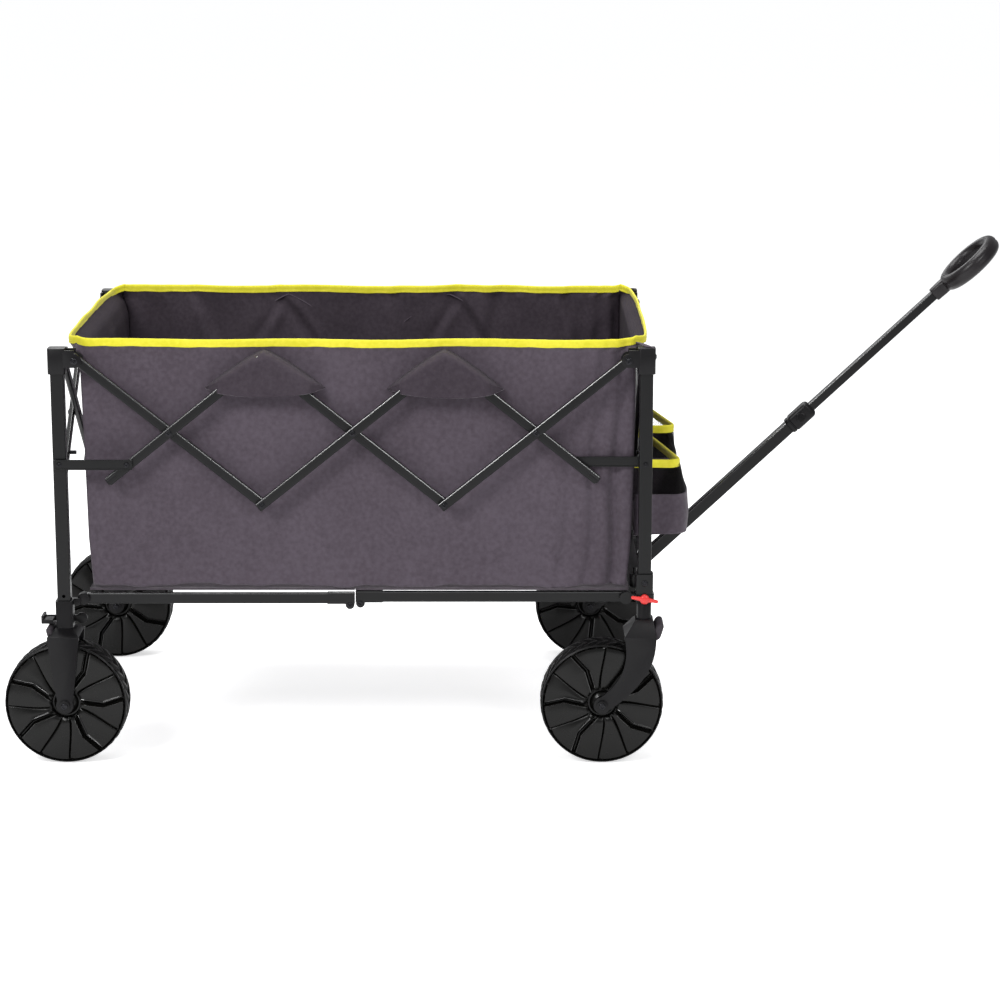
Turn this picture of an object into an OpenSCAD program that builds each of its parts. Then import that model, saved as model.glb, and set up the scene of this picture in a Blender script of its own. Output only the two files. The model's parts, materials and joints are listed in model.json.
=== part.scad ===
/* [Frame] */
// Distance between the rear and front post axes
wheelbase = 843; // [700:1:950]
// Distance between the near and far post axes
track = 579; // [480:1:640]
// Side of the square post tube
post_w = 19; // [16:1:24]
// Wall of the tubes
tube_wall = 1.2; // [1:0.1:2]
// Height of the top of the corner caps
cap_top = 612; // [560:1:680]

/* [Scissor bars] */
// Distance from a cap pivot to its post axis
pivot_in = 26; // [22:1:32]
// Height of the cap pivots
pivot_z = 594.5; // [545:0.5:660]
// Height of a bar
bar_h = 14; // [10:1:18]
// Thickness of a bar
bar_t = 8; // [5:0.5:8]
// Half the drop of a full bar
bar_rise = 105.75; // [95:0.25:115]

/* [Wheels] */
// Diameter of a wheel
wheel_d = 180; // [150:1:200]
// Width of a wheel
wheel_w = 54; // [40:1:60]
// Rearward offset of a caster's axle from its swivel axis
trail = 61; // [40:1:70]

/* [Rails] */
// Height of a rail tube
rail_h = 16; // [12:1:20]
// Height of the side rail pivots
rail_z = 239; // [232:1:246]

/* [Handle] */
// Angle of the handle above the ground
handle_angle = 43.3; // [30:0.1:50]
// Width of the square lower handle tube
lower_w = 19; // [17:1:22]
// Width of the square upper handle tube
upper_w = 14; // [12:1:15]
// Distance from the handle pivot to the far end of the upper tube
handle_reach = 613; // [560:1:640]

/* [Bag] */
// Gap between the post axis and the side panels
bag_in = 16; // [15:1:20]
// Height of the bag's rim
rim_z = 620; // [600:1:640]
// Thickness of a fabric wall
cloth = 3; // [2:0.5:4]

/* [Hidden] */
$fn = 48;
fit = 0.06;              // radial running clearance of every pin
wheel_r = wheel_d / 2;
pitch = (wheelbase - 2 * pivot_in) / 6;   // half an X, measured along the side
end_pitch = (track - 2 * pivot_in) / 4;   // half an X, measured along an end
layer = bar_t / 2 + 0.5;                  // centre of a bar's layer from the post plane
pin_r = 3;
head_r = 5;
link_pin = 78;           // along a bar from its X pivot to the link pin
short_end = 107;         // along a bar from its X pivot to its free end
link_z = 443.5;
cap_w = 25;
cap_h = 37;
axle_z = wheel_r;
hub_x = 8;               // handle pivot ahead of the front post axis
hub_z = 227.7;
rail_in = 26;            // side rail pivot to post axis
rail_len = (wheelbase - 2 * rail_in) / 2;
cross_in = 42;           // cross rail pivot to post axis
cross_len = (track - 2 * cross_in) / 2;
cross_x = -12;
cross_z = 262;
grip_len = 100;
grip_r = 9;
grip_s = handle_reach + 60;               // grip centre along the handle
handle_end = hub_x + (grip_s + grip_len / 2 - grip_r) * cos(handle_angle) + grip_r;
rear_x = -(wheelbase + handle_end - wheel_r) / 2;   // rear post axis from the origin

black = [0.13, 0.13, 0.14];
powder = [0.17, 0.17, 0.18];
grey = [0.36, 0.32, 0.36];
red = [0.94, 0.29, 0.28];

// ---- placing ----
module at_corner(front, far) {
  translate([rear_x + (front ? wheelbase : 0), far ? track / 2 : -track / 2, 0])
    mirror([0, far ? 1 : 0, 0]) children();
}
module at_side(far) {
  at_corner(false, far) children();
}
// ends run along +Y from the near post, with their outer face away from the bag
module at_end(front) {
  translate([rear_x + (front ? wheelbase : 0), -track / 2, 0])
    mirror([front ? 1 : 0, 0, 0]) mirror([1, -1, 0]) children();
}
module y_rod(r, y0, y1) {
  translate([0, y1, 0]) rotate([90, 0, 0]) cylinder(r = r, h = y1 - y0);
}
module square_tube(w, len, wall, corner = 2) {
  difference() {
    linear_extrude(len) rounded_square(w, corner);
    translate([0, 0, -1]) linear_extrude(len + 2) rounded_square(w - 2 * wall, corner - wall / 2);
  }
}
module rounded_square(w, r) {
  square([w - 2 * r, w], center = true);
  square([w, w - 2 * r], center = true);
  for (sx = [-1, 1], sy = [-1, 1])
    translate([sx * (w / 2 - r), sy * (w / 2 - r)]) circle(r = r);
}

// ---- posts and caps ----
module post_tube(z0) {
  difference() {
    translate([0, 0, z0]) square_tube(post_w, cap_top - 4 - z0, tube_wall);
    translate([0, 0, 248]) y_rod(2.5, -20, 20);
    translate([0, 0, link_z]) y_rod(2.5, -20, 20);
  }
}
module rear_post(far) {
  color(powder) at_corner(false, far) {
    post_tube(201);
    translate([0, 0, link_z]) y_rod(2.45, -9.9, 9.5);
  }
}
module front_post(far) {
  color(powder) at_corner(true, far) {
    post_tube(281);
    translate([0, 0, link_z]) y_rod(2.45, -9.5, 9.9);
    difference() {
      union() {
        translate([0, 0, 241.5]) linear_extrude(39.5) rounded_square(cap_w, 4);
        translate([0, 0, 241.5]) linear_extrude(9.5) rounded_square(28, 5);
        // ear of the side rail
        translate([-rail_in, 19.2, rail_z]) y_rod(9, -5, 3);
        translate([-rail_in, 14.2, rail_z]) cube([20, 5, 9]);
        translate([-rail_in + 8, 5, 241.5]) cube([12, 14.2, 6.5]);
        // arm of the cross rail
        translate([cross_x + 2, 8, 250]) cube([8, cross_in + 6, 9]);
        translate([cross_x, cross_in, 250]) cylinder(r = 8, h = 11.7);
      }
      translate([0, 0, 240]) cylinder(r = 7 + fit, h = 36);
      translate([0, 0, 245]) y_rod(2 + fit, -20, 0);
    }
    translate([cross_x, cross_in, 261]) cylinder(r = pin_r, h = 18);
    translate([-rail_in, 0, rail_z]) y_rod(pin_r, 20, 32);
  }
}
module cap(front, far) {
  color(black) at_corner(front, far) difference() {
    union() {
      translate([0, 0, cap_top - cap_h]) linear_extrude(cap_h) rounded_square(cap_w, 4);
      // clevis of the side bars
      mirror([front ? 1 : 0, 0, 0]) clevis();
      // clevis of the end bars
      mirror([front ? 1 : 0, 0, 0]) mirror([1, -1, 0]) clevis();
    }
    translate([0, 0, cap_top - cap_h - 1]) linear_extrude(cap_h - 3) rounded_square(post_w, 2);
  }
}
module clevis() {
  for (y = [-12.3, 9.3]) translate([0, y, pivot_z - 10]) {
    translate([10, 0, 0]) cube([pivot_in - 10, 3, 25]);
    translate([pivot_in, 0, 10]) y_rod(10, 0, 3);
  }
  translate([pivot_in, 0, pivot_z]) y_rod(pin_r, -13.8, 13.8);
  translate([pivot_in, 0, pivot_z]) y_rod(head_r, -13.8, -12.2);
}

// ---- scissor bars: local X runs along the side, -Y is the outer side ----
// lo and hi are the lengths either side of the X pivot; bores and pins are places along the bar
module flat_bar(lo, hi, y0, bores, pins, heads, pin_y0, pin_y1) {
  difference() {
    union() {
      translate([-lo, y0, -bar_h / 2]) cube([lo + hi, bar_t, bar_h]);
      for (x = [-lo, hi]) translate([x, 0, 0]) y_rod(bar_h / 2, y0, y0 + bar_t);
    }
    for (x = bores) translate([x, 0, 0]) y_rod(pin_r + fit, y0 - 1, y0 + bar_t + 1);
  }
  for (x = pins) translate([x, 0, 0]) y_rod(pin_r, pin_y0, pin_y1);
  for (x = heads) translate([x, 0, 0]) y_rod(head_r, y0 - 1.5, y0 + 1);
}
// an up bar lies in the outer layer and carries the pins
module up_bar(p, k, n) {
  half = sqrt(p * p + bar_rise * bar_rise);
  lo = k == 1 ? short_end : half;
  last = k == n;
  translate([pivot_in + (2 * k - 1) * p, 0, pivot_z - bar_rise]) rotate([0, -atan2(bar_rise, p), 0])
    flat_bar(lo, half, -layer - bar_t / 2, last ? [half] : [],
      concat([0], k == 1 ? [] : [-lo], last ? [] : [half]),
      concat([0, k == 1 ? -link_pin : -lo], last ? [] : [half]), -layer, layer + bar_t / 2 + 0.8);
}
// a down bar lies in the inner layer and is bored for the pins
module down_bar(p, k, n) {
  half = sqrt(p * p + bar_rise * bar_rise);
  hi = k == n ? short_end : half;
  translate([pivot_in + (2 * k - 1) * p, 0, pivot_z - bar_rise]) rotate([0, atan2(bar_rise, p), 0])
    flat_bar(half, hi, layer - bar_t / 2, concat([0, -half], k == n ? [] : [hi]), [], [], 0, 0);
}
module side_bar(far, up, k) {
  color(powder) at_side(far) {
    if (up) up_bar(pitch, k, 3);
    if (!up) down_bar(pitch, k, 3);
  }
}
module end_bar(front, up, k) {
  color(powder) at_end(front) {
    if (up) up_bar(end_pitch, k, 2);
    if (!up) down_bar(end_pitch, k, 2);
  }
}
// a link stays level from its post to the lower end of the nearest bar
module link(front, far) {
  half = sqrt(pitch * pitch + bar_rise * bar_rise);
  len = pivot_in + pitch * (half - link_pin) / half;
  y0 = front ? 10.2 : -13.2;
  head_y = front ? y0 + 3 : y0 - 1.2;
  color(powder) at_corner(front, far) mirror([front ? 1 : 0, 0, 0]) translate([0, 0, link_z]) {
    difference() {
      translate([-8, y0, -7.5]) cube([len + 16, 3, 15]);
      y_rod(2.5 + fit, y0 - 1, y0 + 4);
    }
    y_rod(2.4, y0, y0 + 3);
    for (x = [0, len]) translate([x, 0, 0]) y_rod(4, head_y, head_y + 1.2);
  }
}

// ---- rails: the halves lie side by side so that they can pass while folding ----
module side_rail(front, far) {
  y0 = front ? 23 : 14.2;
  color(powder) at_corner(front, far) mirror([front ? 1 : 0, 0, 0]) translate([rail_in, 0, rail_z]) {
    difference() {
      union() {
        translate([0, y0, -rail_h / 2]) cube([rail_len - 0.4, 8.2, rail_h]);
        y_rod(9, y0, y0 + 8.2);
        // reinforcing sleeve at the middle
        translate([rail_len - 40.4, y0, -rail_h / 2 - 1]) cube([40, 8.2, rail_h + 2]);
        translate([rail_len - 7.4, 0, -rail_h / 2 - 2]) y_rod(6.5, y0, y0 + 8.2);
      }
      y_rod(pin_r + fit, y0 - 1, y0 + 10);
    }
  }
}
module cross_rail(far) {
  z0 = far ? cross_z + 8.2 : cross_z;
  color(powder) at_corner(true, far) difference() {
    union() {
      translate([cross_x - 8, cross_in, z0]) cube([16, cross_len - 0.4, 7.8]);
      translate([cross_x, cross_in, z0]) cylinder(r = 8, h = 7.8);
    }
    translate([cross_x, cross_in, z0 - 1]) cylinder(r = pin_r + fit, h = 10);
    if (!far) translate([cross_x, track / 2, z0 - 1]) cylinder(r = pin_r + fit, h = 10);
  }
}
module handle_hub() {
  color(black) translate([rear_x + wheelbase, 0, 0]) {
    translate([-20, -14, hub_z - 11]) cube([9, 28, cross_z - hub_z + 10.6]);
    translate([-20, -14, cross_z - 8]) cube([16, 28, 7.6]);
    for (y = [-14, 10]) translate([-20, y, hub_z - 11]) cube([20 + hub_x, 4, 22]);
    for (y = [-14, 10]) translate([hub_x, y, hub_z]) y_rod(11, 0, 4);
    translate([cross_x, 0, cross_z - 2]) cylinder(r = pin_r, h = 9);
    translate([hub_x, 0, hub_z]) y_rod(pin_r, -15, 15);
  }
}

// ---- forks and wheels ----
// width of a fork arm follows a smooth curve from the crown to the axle
function bend(t, a, b, c) = (1 - t) * (1 - t) * a + 2 * t * (1 - t) * b + t * t * c;
module arm(x_top, x_low, top_half, low_half, bow) {
  n = 14;
  top = 192;
  mid = [bow, (top + axle_z) / 2 - 8];
  front = [for (i = [0:n]) [bend(i / n, x_top + top_half, mid[0] + (top_half + low_half) / 2,
    x_low + low_half * 0.75), bend(i / n, top, mid[1], axle_z - low_half * 0.6)]];
  back = [for (i = [n:-1:0]) [bend(i / n, x_top - top_half, mid[0] - (top_half + low_half) / 2,
    x_low - low_half * 0.85), bend(i / n, top, mid[1], axle_z + low_half * 0.5)]];
  translate([0, 2, 0]) rotate([90, 0, 0]) linear_extrude(4) {
    polygon(concat(front, back));
    translate([x_low, axle_z]) circle(r = low_half);
  }
}
module fork(x_low, bow, top_half, crown_top) {
  for (s = [-1, 1]) translate([0, s * (wheel_w / 2 + 5), 0])
    arm(0, x_low, top_half, 12.5, bow);
  difference() {
    hull() {
      translate([-top_half, -wheel_w / 2 - 7, 187]) cube([2 * top_half, wheel_w + 14, 5]);
      translate([-13, -14, crown_top - 2]) cube([26, 28, 2]);
    }
    translate([-top_half - 1, -wheel_w / 2 - 3, 186]) cube([2 * top_half + 2, wheel_w + 6, 6]);
  }
  translate([x_low, 0, axle_z]) {
    y_rod(5, -wheel_w / 2 - 9, wheel_w / 2 + 9);
    for (s = [-1, 1]) translate([0, s * (wheel_w / 2 + 9), 0]) y_rod(8, -2.5, 2.5);
  }
}
module rear_fork(far) {
  color(black) at_corner(false, far) {
    fork(0, 0, 23, 201);
    difference() {
      union() {
        translate([0, 0, 199]) linear_extrude(42) rounded_square(cap_w, 4);
        // ear of the side rail
        translate([0, 5, 232]) cube([rail_in - 4, 8.8, 9]);
        translate([rail_in, 0, rail_z]) y_rod(9, 8.8, 13.8);
      }
      translate([0, 0, 201]) linear_extrude(50) rounded_square(post_w, 2);
    }
    translate([rail_in, 0, rail_z]) y_rod(pin_r, 13, 24);
    translate([0, 0, 209]) y_rod(pin_r, 12, 18);
  }
}
module caster_fork(far) {
  color(black) at_corner(true, far) {
    fork(-trail, 6, 23, 214);
    translate([0, 0, 212]) cylinder(r = 10.5, h = 29);
    translate([0, 0, 240]) cylinder(r = 7, h = 34);
  }
}
module wheel(front, far) {
  w = wheel_w / 2;
  color(black) at_corner(front, far) translate([front ? -trail : 0, 0, axle_z]) rotate([90, 0, 0]) {
    rotate_extrude($fn = 96) polygon([[70, -w + 2], [84, -w + 1], [wheel_r - 2, -w + 3],
      [wheel_r, -w + 8], [wheel_r, w - 8], [wheel_r - 2, w - 3], [84, w - 1], [70, w - 2]]);
    rotate_extrude($fn = 96) polygon([[5 + fit, -w + 1], [14, -w + 1], [20, -w + 5], [22, -w + 2],
      [69.9, -w + 1], [69.9, -w + 8], [24, -w + 10], [24, w - 10], [69.9, w - 8], [69.9, w - 1],
      [22, w - 2], [20, w - 5], [14, w - 1], [5 + fit, w - 1]]);
  }
}
module swivel_lock(far) {
  color(red) at_corner(true, far) translate([0, 0, 245]) {
    y_rod(6.7, -20, -14.4);
    y_rod(2, -14.5, -9);
    rotate([0, 10, 0]) translate([-17, -18.4, -2.75]) cube([34, 3.6, 5.5]);
  }
}
module brake_pedal(far) {
  color(black) at_corner(false, far) difference() {
    union() {
      translate([-34, 14, 205]) cube([56, 4, 9]);
      translate([22, 14, 209.5]) translate([0, 4, 0]) y_rod(8, -4, 0);
      translate([-34, -9, 206.5]) cube([17, 27, 6]);
      translate([-34, -9, 206.5]) cube([4, 27, 12]);
    }
    translate([0, 0, 209]) y_rod(pin_r + fit, 12, 20);
  }
}

// ---- handle: built along +X from the pivot, then raised ----
module on_handle() {
  translate([rear_x + wheelbase + hub_x, 0, hub_z]) rotate([0, -handle_angle, 0]) children();
}
module handle_lower_tube() {
  color(black) on_handle() {
    difference() {
      rotate([0, 90, 0]) translate([0, 0, 8]) {
        square_tube(lower_w, 305, 2.4, 3);
        linear_extrude(8) rounded_square(lower_w, 3);
      }
      y_rod(pin_r + fit, -12, 12);
    }
    difference() {
      union() {
        y_rod(9.5, -9.4, 9.4);
        translate([0, -9.4, -9.4]) cube([9, 18.8, 18.8]);
      }
      y_rod(pin_r + fit, -12, 12);
    }
    difference() {
      translate([313, 0, 0]) rotate([0, 90, 0]) linear_extrude(44) rounded_square(26, 6);
      translate([312, 0, 0]) rotate([0, 90, 0]) linear_extrude(46) rounded_square(upper_w + 0.2, 2.4);
      translate([335, 0, 0]) y_rod(6 + 0.3, -14, -9);
    }
  }
}
module handle_button() {
  color(black) on_handle() translate([335, 0, 0]) y_rod(6, -15.5, -11.7);
}
module handle_upper_tube() {
  color(powder) on_handle() translate([268, 0, 0]) rotate([0, 90, 0])
    square_tube(upper_w, handle_reach - 268, tube_wall, 2.3);
}
module handle_grip() {
  a = grip_len / 2 - grip_r;
  color(black) on_handle() {
    difference() {
      translate([handle_reach - 8, 0, 0]) rotate([0, 90, 0]) linear_extrude(20) rounded_square(20, 5);
      translate([handle_reach - 9, 0, 0]) rotate([0, 90, 0]) linear_extrude(9) rounded_square(upper_w, 2.3);
    }
    translate([grip_s, 0, 0]) rotate_extrude($fn = 96) translate([a, 0]) circle(r = grip_r);
  }
}

// ---- bag ----
module panel(x0, x1, y0, y1, z0, z1) {
  translate([rear_x + x0, -track / 2 + y0, z0]) cube([x1 - x0, y1 - y0, z1 - z0]);
}
bag_z0 = 256;
bag_x0 = 31;
bag_x1 = wheelbase - 14.2;
module bag_near_and_rear() {
  color(grey) {
    panel(bag_x0, bag_x1 - cloth - 0.3, bag_in, bag_in + cloth, bag_z0, rim_z);
    panel(bag_x0, bag_x0 + cloth, bag_in + cloth + 0.3, track - bag_in - cloth - 0.3, bag_z0, rim_z);
  }
}
module bag_far_side() {
  color(grey) panel(bag_x0, bag_x1 - cloth - 0.3, track - bag_in - cloth, track - bag_in, bag_z0, rim_z);
}
module pocket(y0, y1) {
  x0 = wheelbase + 14;
  x1 = wheelbase + 66;
  difference() {
    panel(x0, x1, y0, y1, 308, 438);
    panel(x0 + cloth, x1 - cloth, y0 + cloth, y1 - cloth, 308 + cloth, 440);
  }
}
module bag_front_end() {
  color(grey) {
    panel(bag_x1 - cloth, bag_x1, bag_in + cloth + 0.3, track - bag_in - cloth - 0.3, 281, rim_z);
    pocket(40, track / 2 - 15);
    pocket(track / 2 + 15, track - 40);
  }
}
module bag_floor(front) {
  mid = wheelbase / 2;
  color(grey) panel(front ? mid + 0.3 : bag_x0 + cloth + 0.3, front ? wheelbase - 21.5 : mid - 0.3,
    bag_in + cloth + 0.5, track - bag_in - cloth - 0.5, 250, 254.5);
}

rear_post(false);  // post_rear_near
rear_post(true);  // post_rear_far
front_post(false);  // post_front_near
front_post(true);  // post_front_far
cap(false, false);  // cap_rear_near
cap(false, true);  // cap_rear_far
cap(true, false);  // cap_front_near
cap(true, true);  // cap_front_far
rear_fork(false);  // rear_fork_near
rear_fork(true);  // rear_fork_far
caster_fork(false);  // caster_fork_near
caster_fork(true);  // caster_fork_far
wheel(false, false);  // wheel_rear_near
wheel(false, true);  // wheel_rear_far
wheel(true, false);  // wheel_front_near
wheel(true, true);  // wheel_front_far
side_bar(false, false, 1);  // near_bar_down_1
side_bar(false, true, 1);  // near_bar_up_1
side_bar(false, false, 2);  // near_bar_down_2
side_bar(false, true, 2);  // near_bar_up_2
side_bar(false, false, 3);  // near_bar_down_3
side_bar(false, true, 3);  // near_bar_up_3
side_bar(true, false, 1);  // far_bar_down_1
side_bar(true, true, 1);  // far_bar_up_1
side_bar(true, false, 2);  // far_bar_down_2
side_bar(true, true, 2);  // far_bar_up_2
side_bar(true, false, 3);  // far_bar_down_3
side_bar(true, true, 3);  // far_bar_up_3
end_bar(false, false, 1);  // rear_bar_down_1
end_bar(false, true, 1);  // rear_bar_up_1
end_bar(false, false, 2);  // rear_bar_down_2
end_bar(false, true, 2);  // rear_bar_up_2
end_bar(true, false, 1);  // front_bar_down_1
end_bar(true, true, 1);  // front_bar_up_1
end_bar(true, false, 2);  // front_bar_down_2
end_bar(true, true, 2);  // front_bar_up_2
link(false, false);  // link_rear_near
link(true, false);  // link_front_near
link(false, true);  // link_rear_far
link(true, true);  // link_front_far
side_rail(false, false);  // rail_rear_near
side_rail(true, false);  // rail_front_near
side_rail(false, true);  // rail_rear_far
side_rail(true, true);  // rail_front_far
cross_rail(false);  // cross_rail_near
cross_rail(true);  // cross_rail_far
handle_hub();
handle_lower_tube();
handle_button();
handle_upper_tube();
handle_grip();
swivel_lock(false);  // swivel_lock_near
swivel_lock(true);  // swivel_lock_far
brake_pedal(false);  // brake_pedal_near
brake_pedal(true);  // brake_pedal_far
bag_near_and_rear();
bag_far_side();
bag_front_end();
bag_floor(false);  // bag_floor_rear
bag_floor(true);  // bag_floor_front
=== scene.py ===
# %% [markdown]
# A folding wagon: a sewn polyester bag hangs in a scissor frame of powder coated steel, on four moulded
# plastic wheels. The frame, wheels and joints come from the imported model. This file builds the looks:
# rounded bars, treaded wheels, the sewn bag with its bound rim, the mesh pockets and the ring grip.

# %% Load the frame
import json
import bmesh
import bpy
import numpy as np
from math import radians, pi
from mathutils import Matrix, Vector


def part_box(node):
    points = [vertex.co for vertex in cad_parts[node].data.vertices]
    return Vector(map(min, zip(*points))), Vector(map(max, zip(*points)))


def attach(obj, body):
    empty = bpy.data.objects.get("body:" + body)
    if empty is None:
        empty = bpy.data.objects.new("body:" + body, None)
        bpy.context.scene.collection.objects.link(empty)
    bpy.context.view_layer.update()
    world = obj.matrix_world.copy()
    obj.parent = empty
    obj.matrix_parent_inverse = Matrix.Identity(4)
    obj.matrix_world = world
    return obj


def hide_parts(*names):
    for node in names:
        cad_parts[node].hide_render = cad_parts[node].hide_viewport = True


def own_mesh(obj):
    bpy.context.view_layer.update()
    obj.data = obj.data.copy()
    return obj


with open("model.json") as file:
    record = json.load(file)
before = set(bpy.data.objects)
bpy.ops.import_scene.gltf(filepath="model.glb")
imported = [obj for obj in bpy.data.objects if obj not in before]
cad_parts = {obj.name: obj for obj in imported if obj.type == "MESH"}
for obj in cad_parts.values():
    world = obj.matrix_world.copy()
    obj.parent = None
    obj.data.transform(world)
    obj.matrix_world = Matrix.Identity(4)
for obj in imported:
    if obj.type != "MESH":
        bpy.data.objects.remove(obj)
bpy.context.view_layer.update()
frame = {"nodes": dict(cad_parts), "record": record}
NODES = frame["nodes"]
BODIES = frame["record"]["behaviour"]["bodies"]
JOINTS = {j["name"]: j for j in frame["record"]["behaviour"]["joints"]}
BODY_OF = {n: b for b, ns in BODIES.items() for n in ns}

# %% [markdown]
# Every place is measured from the frame. The four post axes are the anchor of the whole object, because the
# bag, the bars and the rails are all set out from them. Lengths in this file are in metres, and MM turns the
# millimetres that a maker would say into metres.

# %% Places on the frame
MM = 0.001


def pivot(joint):
    """The point a hinge turns about, at rest."""
    return Vector(JOINTS[joint]["pos_m"])


XR = pivot("wheel_rear_near_spin").x
XF = pivot("caster_near_swivel").x
YN = pivot("caster_near_swivel").y
YF = pivot("caster_far_swivel").y
LENGTH = XF - XR
TRACK = YF - YN
print("length", round(LENGTH, 3), "track", round(TRACK, 3))

# %% [markdown]
# The camera stands to the side of the wagon, a little above it, with a long lens, so that the far side
# of the rim shows above the near one and the wheels stay almost round. Four softboxes light it: the key from
# the left draws the bars' edges, and the one above fills the inside of the bag.

# %% Camera and lights
cam_data = bpy.data.cameras.new("camera")
cam_data.lens = 104.1
cam_data.sensor_width = 36
camera = bpy.data.objects.new("camera", cam_data)
camera.location = (XR + 0.6333, YN - 4.079, 1.286)
camera.rotation_euler = (radians(90 - 12.4), 0, 0)
bpy.context.scene.collection.objects.link(camera)
bpy.context.scene.camera = camera


def light(name, place, target, size, watts):
    """A square softbox at place that faces target."""
    data = bpy.data.lights.new(name, "AREA")
    data.shape = "SQUARE"
    data.size = size
    data.energy = watts
    lamp = bpy.data.objects.new(name, data)
    lamp.location = place
    lamp.rotation_euler = (Vector(target) - Vector(place)).to_track_quat("-Z", "Y").to_euler()
    bpy.context.scene.collection.objects.link(lamp)


centre = Vector(((XR + XF) / 2, 0, 0.35))
light("key", (-2.0, -2.5, 2.4), centre, 1.0, 68)
light("strip", (1.7, -2.7, 2.2), centre, 0.8, 34)
light("top", (-0.1, 0.1, 2.9), centre, 1.6, 62)
light("back", (-0.8, 3.0, 2.4), centre, 2.0, 30)

world = bpy.data.worlds.new("studio")
world.use_nodes = True
sky = world.node_tree.nodes["Background"].inputs
sky["Color"].default_value = (0.95, 0.96, 0.98, 1)
sky["Strength"].default_value = 0.42
bpy.context.scene.world = world
bpy.context.scene.view_settings.view_transform = "Standard"
print("lens", cam_data.lens, "mm, camera at", [round(c, 2) for c in camera.location])

# %% [markdown]
# A material here is one Principled shader with a few pattern nodes on it. Three helpers are enough: one turns
# an sRGB hex colour into the linear numbers that the shader wants, one adds a node, sets it and links it, and
# one starts a material.

# %% Material helpers


def linear(code, alpha=1.0):
    """sRGB hex to linear RGBA: below 0.04045 divide by 12.92, above it ((c + 0.055) / 1.055) ** 2.4."""
    c = np.array([int(code[i:i + 2], 16) for i in (1, 3, 5)]) / 255
    c = np.where(c <= 0.04045, c / 12.92, ((c + 0.055) / 1.055) ** 2.4)
    return (*c.tolist(), alpha)


def add(tree, kind, links=(), values=(), stops=(), **settings):
    """Adds a node. settings are its properties, values its sockets' numbers, links (socket, source).

    stops are the (position, hex colour) stops of a colour ramp.
    """
    node = tree.nodes.new("ShaderNode" + kind)
    for key, value in settings.items():
        setattr(node, key, value)
    for key, value in dict(values).items():
        node.inputs[key].default_value = value
    for key, source in dict(links).items():
        tree.links.new(source, node.inputs[key])
    while stops and len(node.color_ramp.elements) < len(stops):
        node.color_ramp.elements.new(0.5)
    for k, (position, code) in enumerate(stops):
        node.color_ramp.elements[k].position = position
        node.color_ramp.elements[k].color = linear(code)
    return node


def start(name, rough, metal=0.0, gloss=0.5):
    """A new material with its Principled shader, and the Object coordinates in metres."""
    mat = bpy.data.materials.new(name)
    mat.use_nodes = True
    tree = mat.node_tree
    shader = tree.nodes["Principled BSDF"]
    shader.inputs["Roughness"].default_value = rough
    shader.inputs["Metallic"].default_value = metal
    shader.inputs["Specular IOR Level"].default_value = gloss
    place = add(tree, "TexCoord")
    return mat, tree, shader, place


print("a mid grey in linear numbers", [round(c, 3) for c in linear("#808080")])

# %% [markdown]
# Powder coat is a dry paint that is melted onto the steel. It leaves a fine orange peel, about 1.5 mm from
# crest to crest, and a satin gloss. It flows away from a folded edge and sets smoother there, so each edge
# has a glossier paint of its own. That is what draws the bright line along every bar.

# %% Powder coated steel


def powder_coat(name, gloss, low, high):
    """Satin black powder coat with orange peel. low and high are the ends of its roughness."""
    mat, tree, shader, place = start(name, 0.3, gloss=gloss)
    peel = add(tree, "TexNoise", {"Vector": place.outputs["Object"]}, {"Scale": 650.0, "Detail": 2.0})
    cloud = add(tree, "TexNoise", {"Vector": place.outputs["Object"]}, {"Scale": 9.0, "Detail": 3.0})
    tone = add(tree, "ValToRGB", {"Fac": cloud.outputs["Fac"]}, stops=[(0.35, "#080809"), (0.65, "#0d0d0e")])
    tree.links.new(tone.outputs["Color"], shader.inputs["Base Color"])
    satin = add(tree, "MapRange", {"Value": cloud.outputs["Fac"]}, {"To Min": low, "To Max": high})
    tree.links.new(satin.outputs["Result"], shader.inputs["Roughness"])
    bump = add(tree, "Bump", {"Height": peel.outputs["Fac"]}, {"Strength": 0.12, "Distance": 0.0004})
    tree.links.new(bump.outputs["Normal"], shader.inputs["Normal"])
    return mat


POWDER = powder_coat("black_powder_coat", 0.26, 0.24, 0.36)
# Paint on the rolled edges: the same black, but glossier and with a clear skin that catches the light.
EDGE = powder_coat("powder_coat_on_edges", 1.0, 0.2, 0.28)
edge_shader = EDGE.node_tree.nodes["Principled BSDF"].inputs
edge_shader["Coat Weight"].default_value = 1.0
edge_shader["Coat Roughness"].default_value = 0.22
print("materials", POWDER.name, EDGE.name)

# %% [markdown]
# The corner caps, forks and handle fittings are glass filled nylon from a spark eroded mould. The mould
# leaves a fine matt grain of about 0.8 mm that scatters the light, so the plastic looks duller than the
# paint beside it.

# %% Moulded nylon


def nylon(name, dark, light_tone, rough, grain=1200.0, depth=0.25, gloss=0.22):
    """Matt moulded plastic with a spark eroded grain and slight rub marks."""
    mat, tree, shader, place = start(name, rough, gloss=gloss)
    fine = add(tree, "TexNoise", {"Vector": place.outputs["Object"]}, {"Scale": grain, "Detail": 3.0})
    cloud = add(tree, "TexNoise", {"Vector": place.outputs["Object"]}, {"Scale": 14.0, "Detail": 4.0})
    tone = add(tree, "ValToRGB", {"Fac": cloud.outputs["Fac"]}, stops=[(0.35, dark), (0.68, light_tone)])
    tree.links.new(tone.outputs["Color"], shader.inputs["Base Color"])
    rub = add(tree, "MapRange", {"Value": cloud.outputs["Fac"]},
              {"To Min": rough - 0.07, "To Max": rough + 0.08})
    tree.links.new(rub.outputs["Result"], shader.inputs["Roughness"])
    bump = add(tree, "Bump", {"Height": fine.outputs["Fac"]}, {"Strength": depth, "Distance": 0.0003})
    tree.links.new(bump.outputs["Normal"], shader.inputs["Normal"])
    return mat


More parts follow.
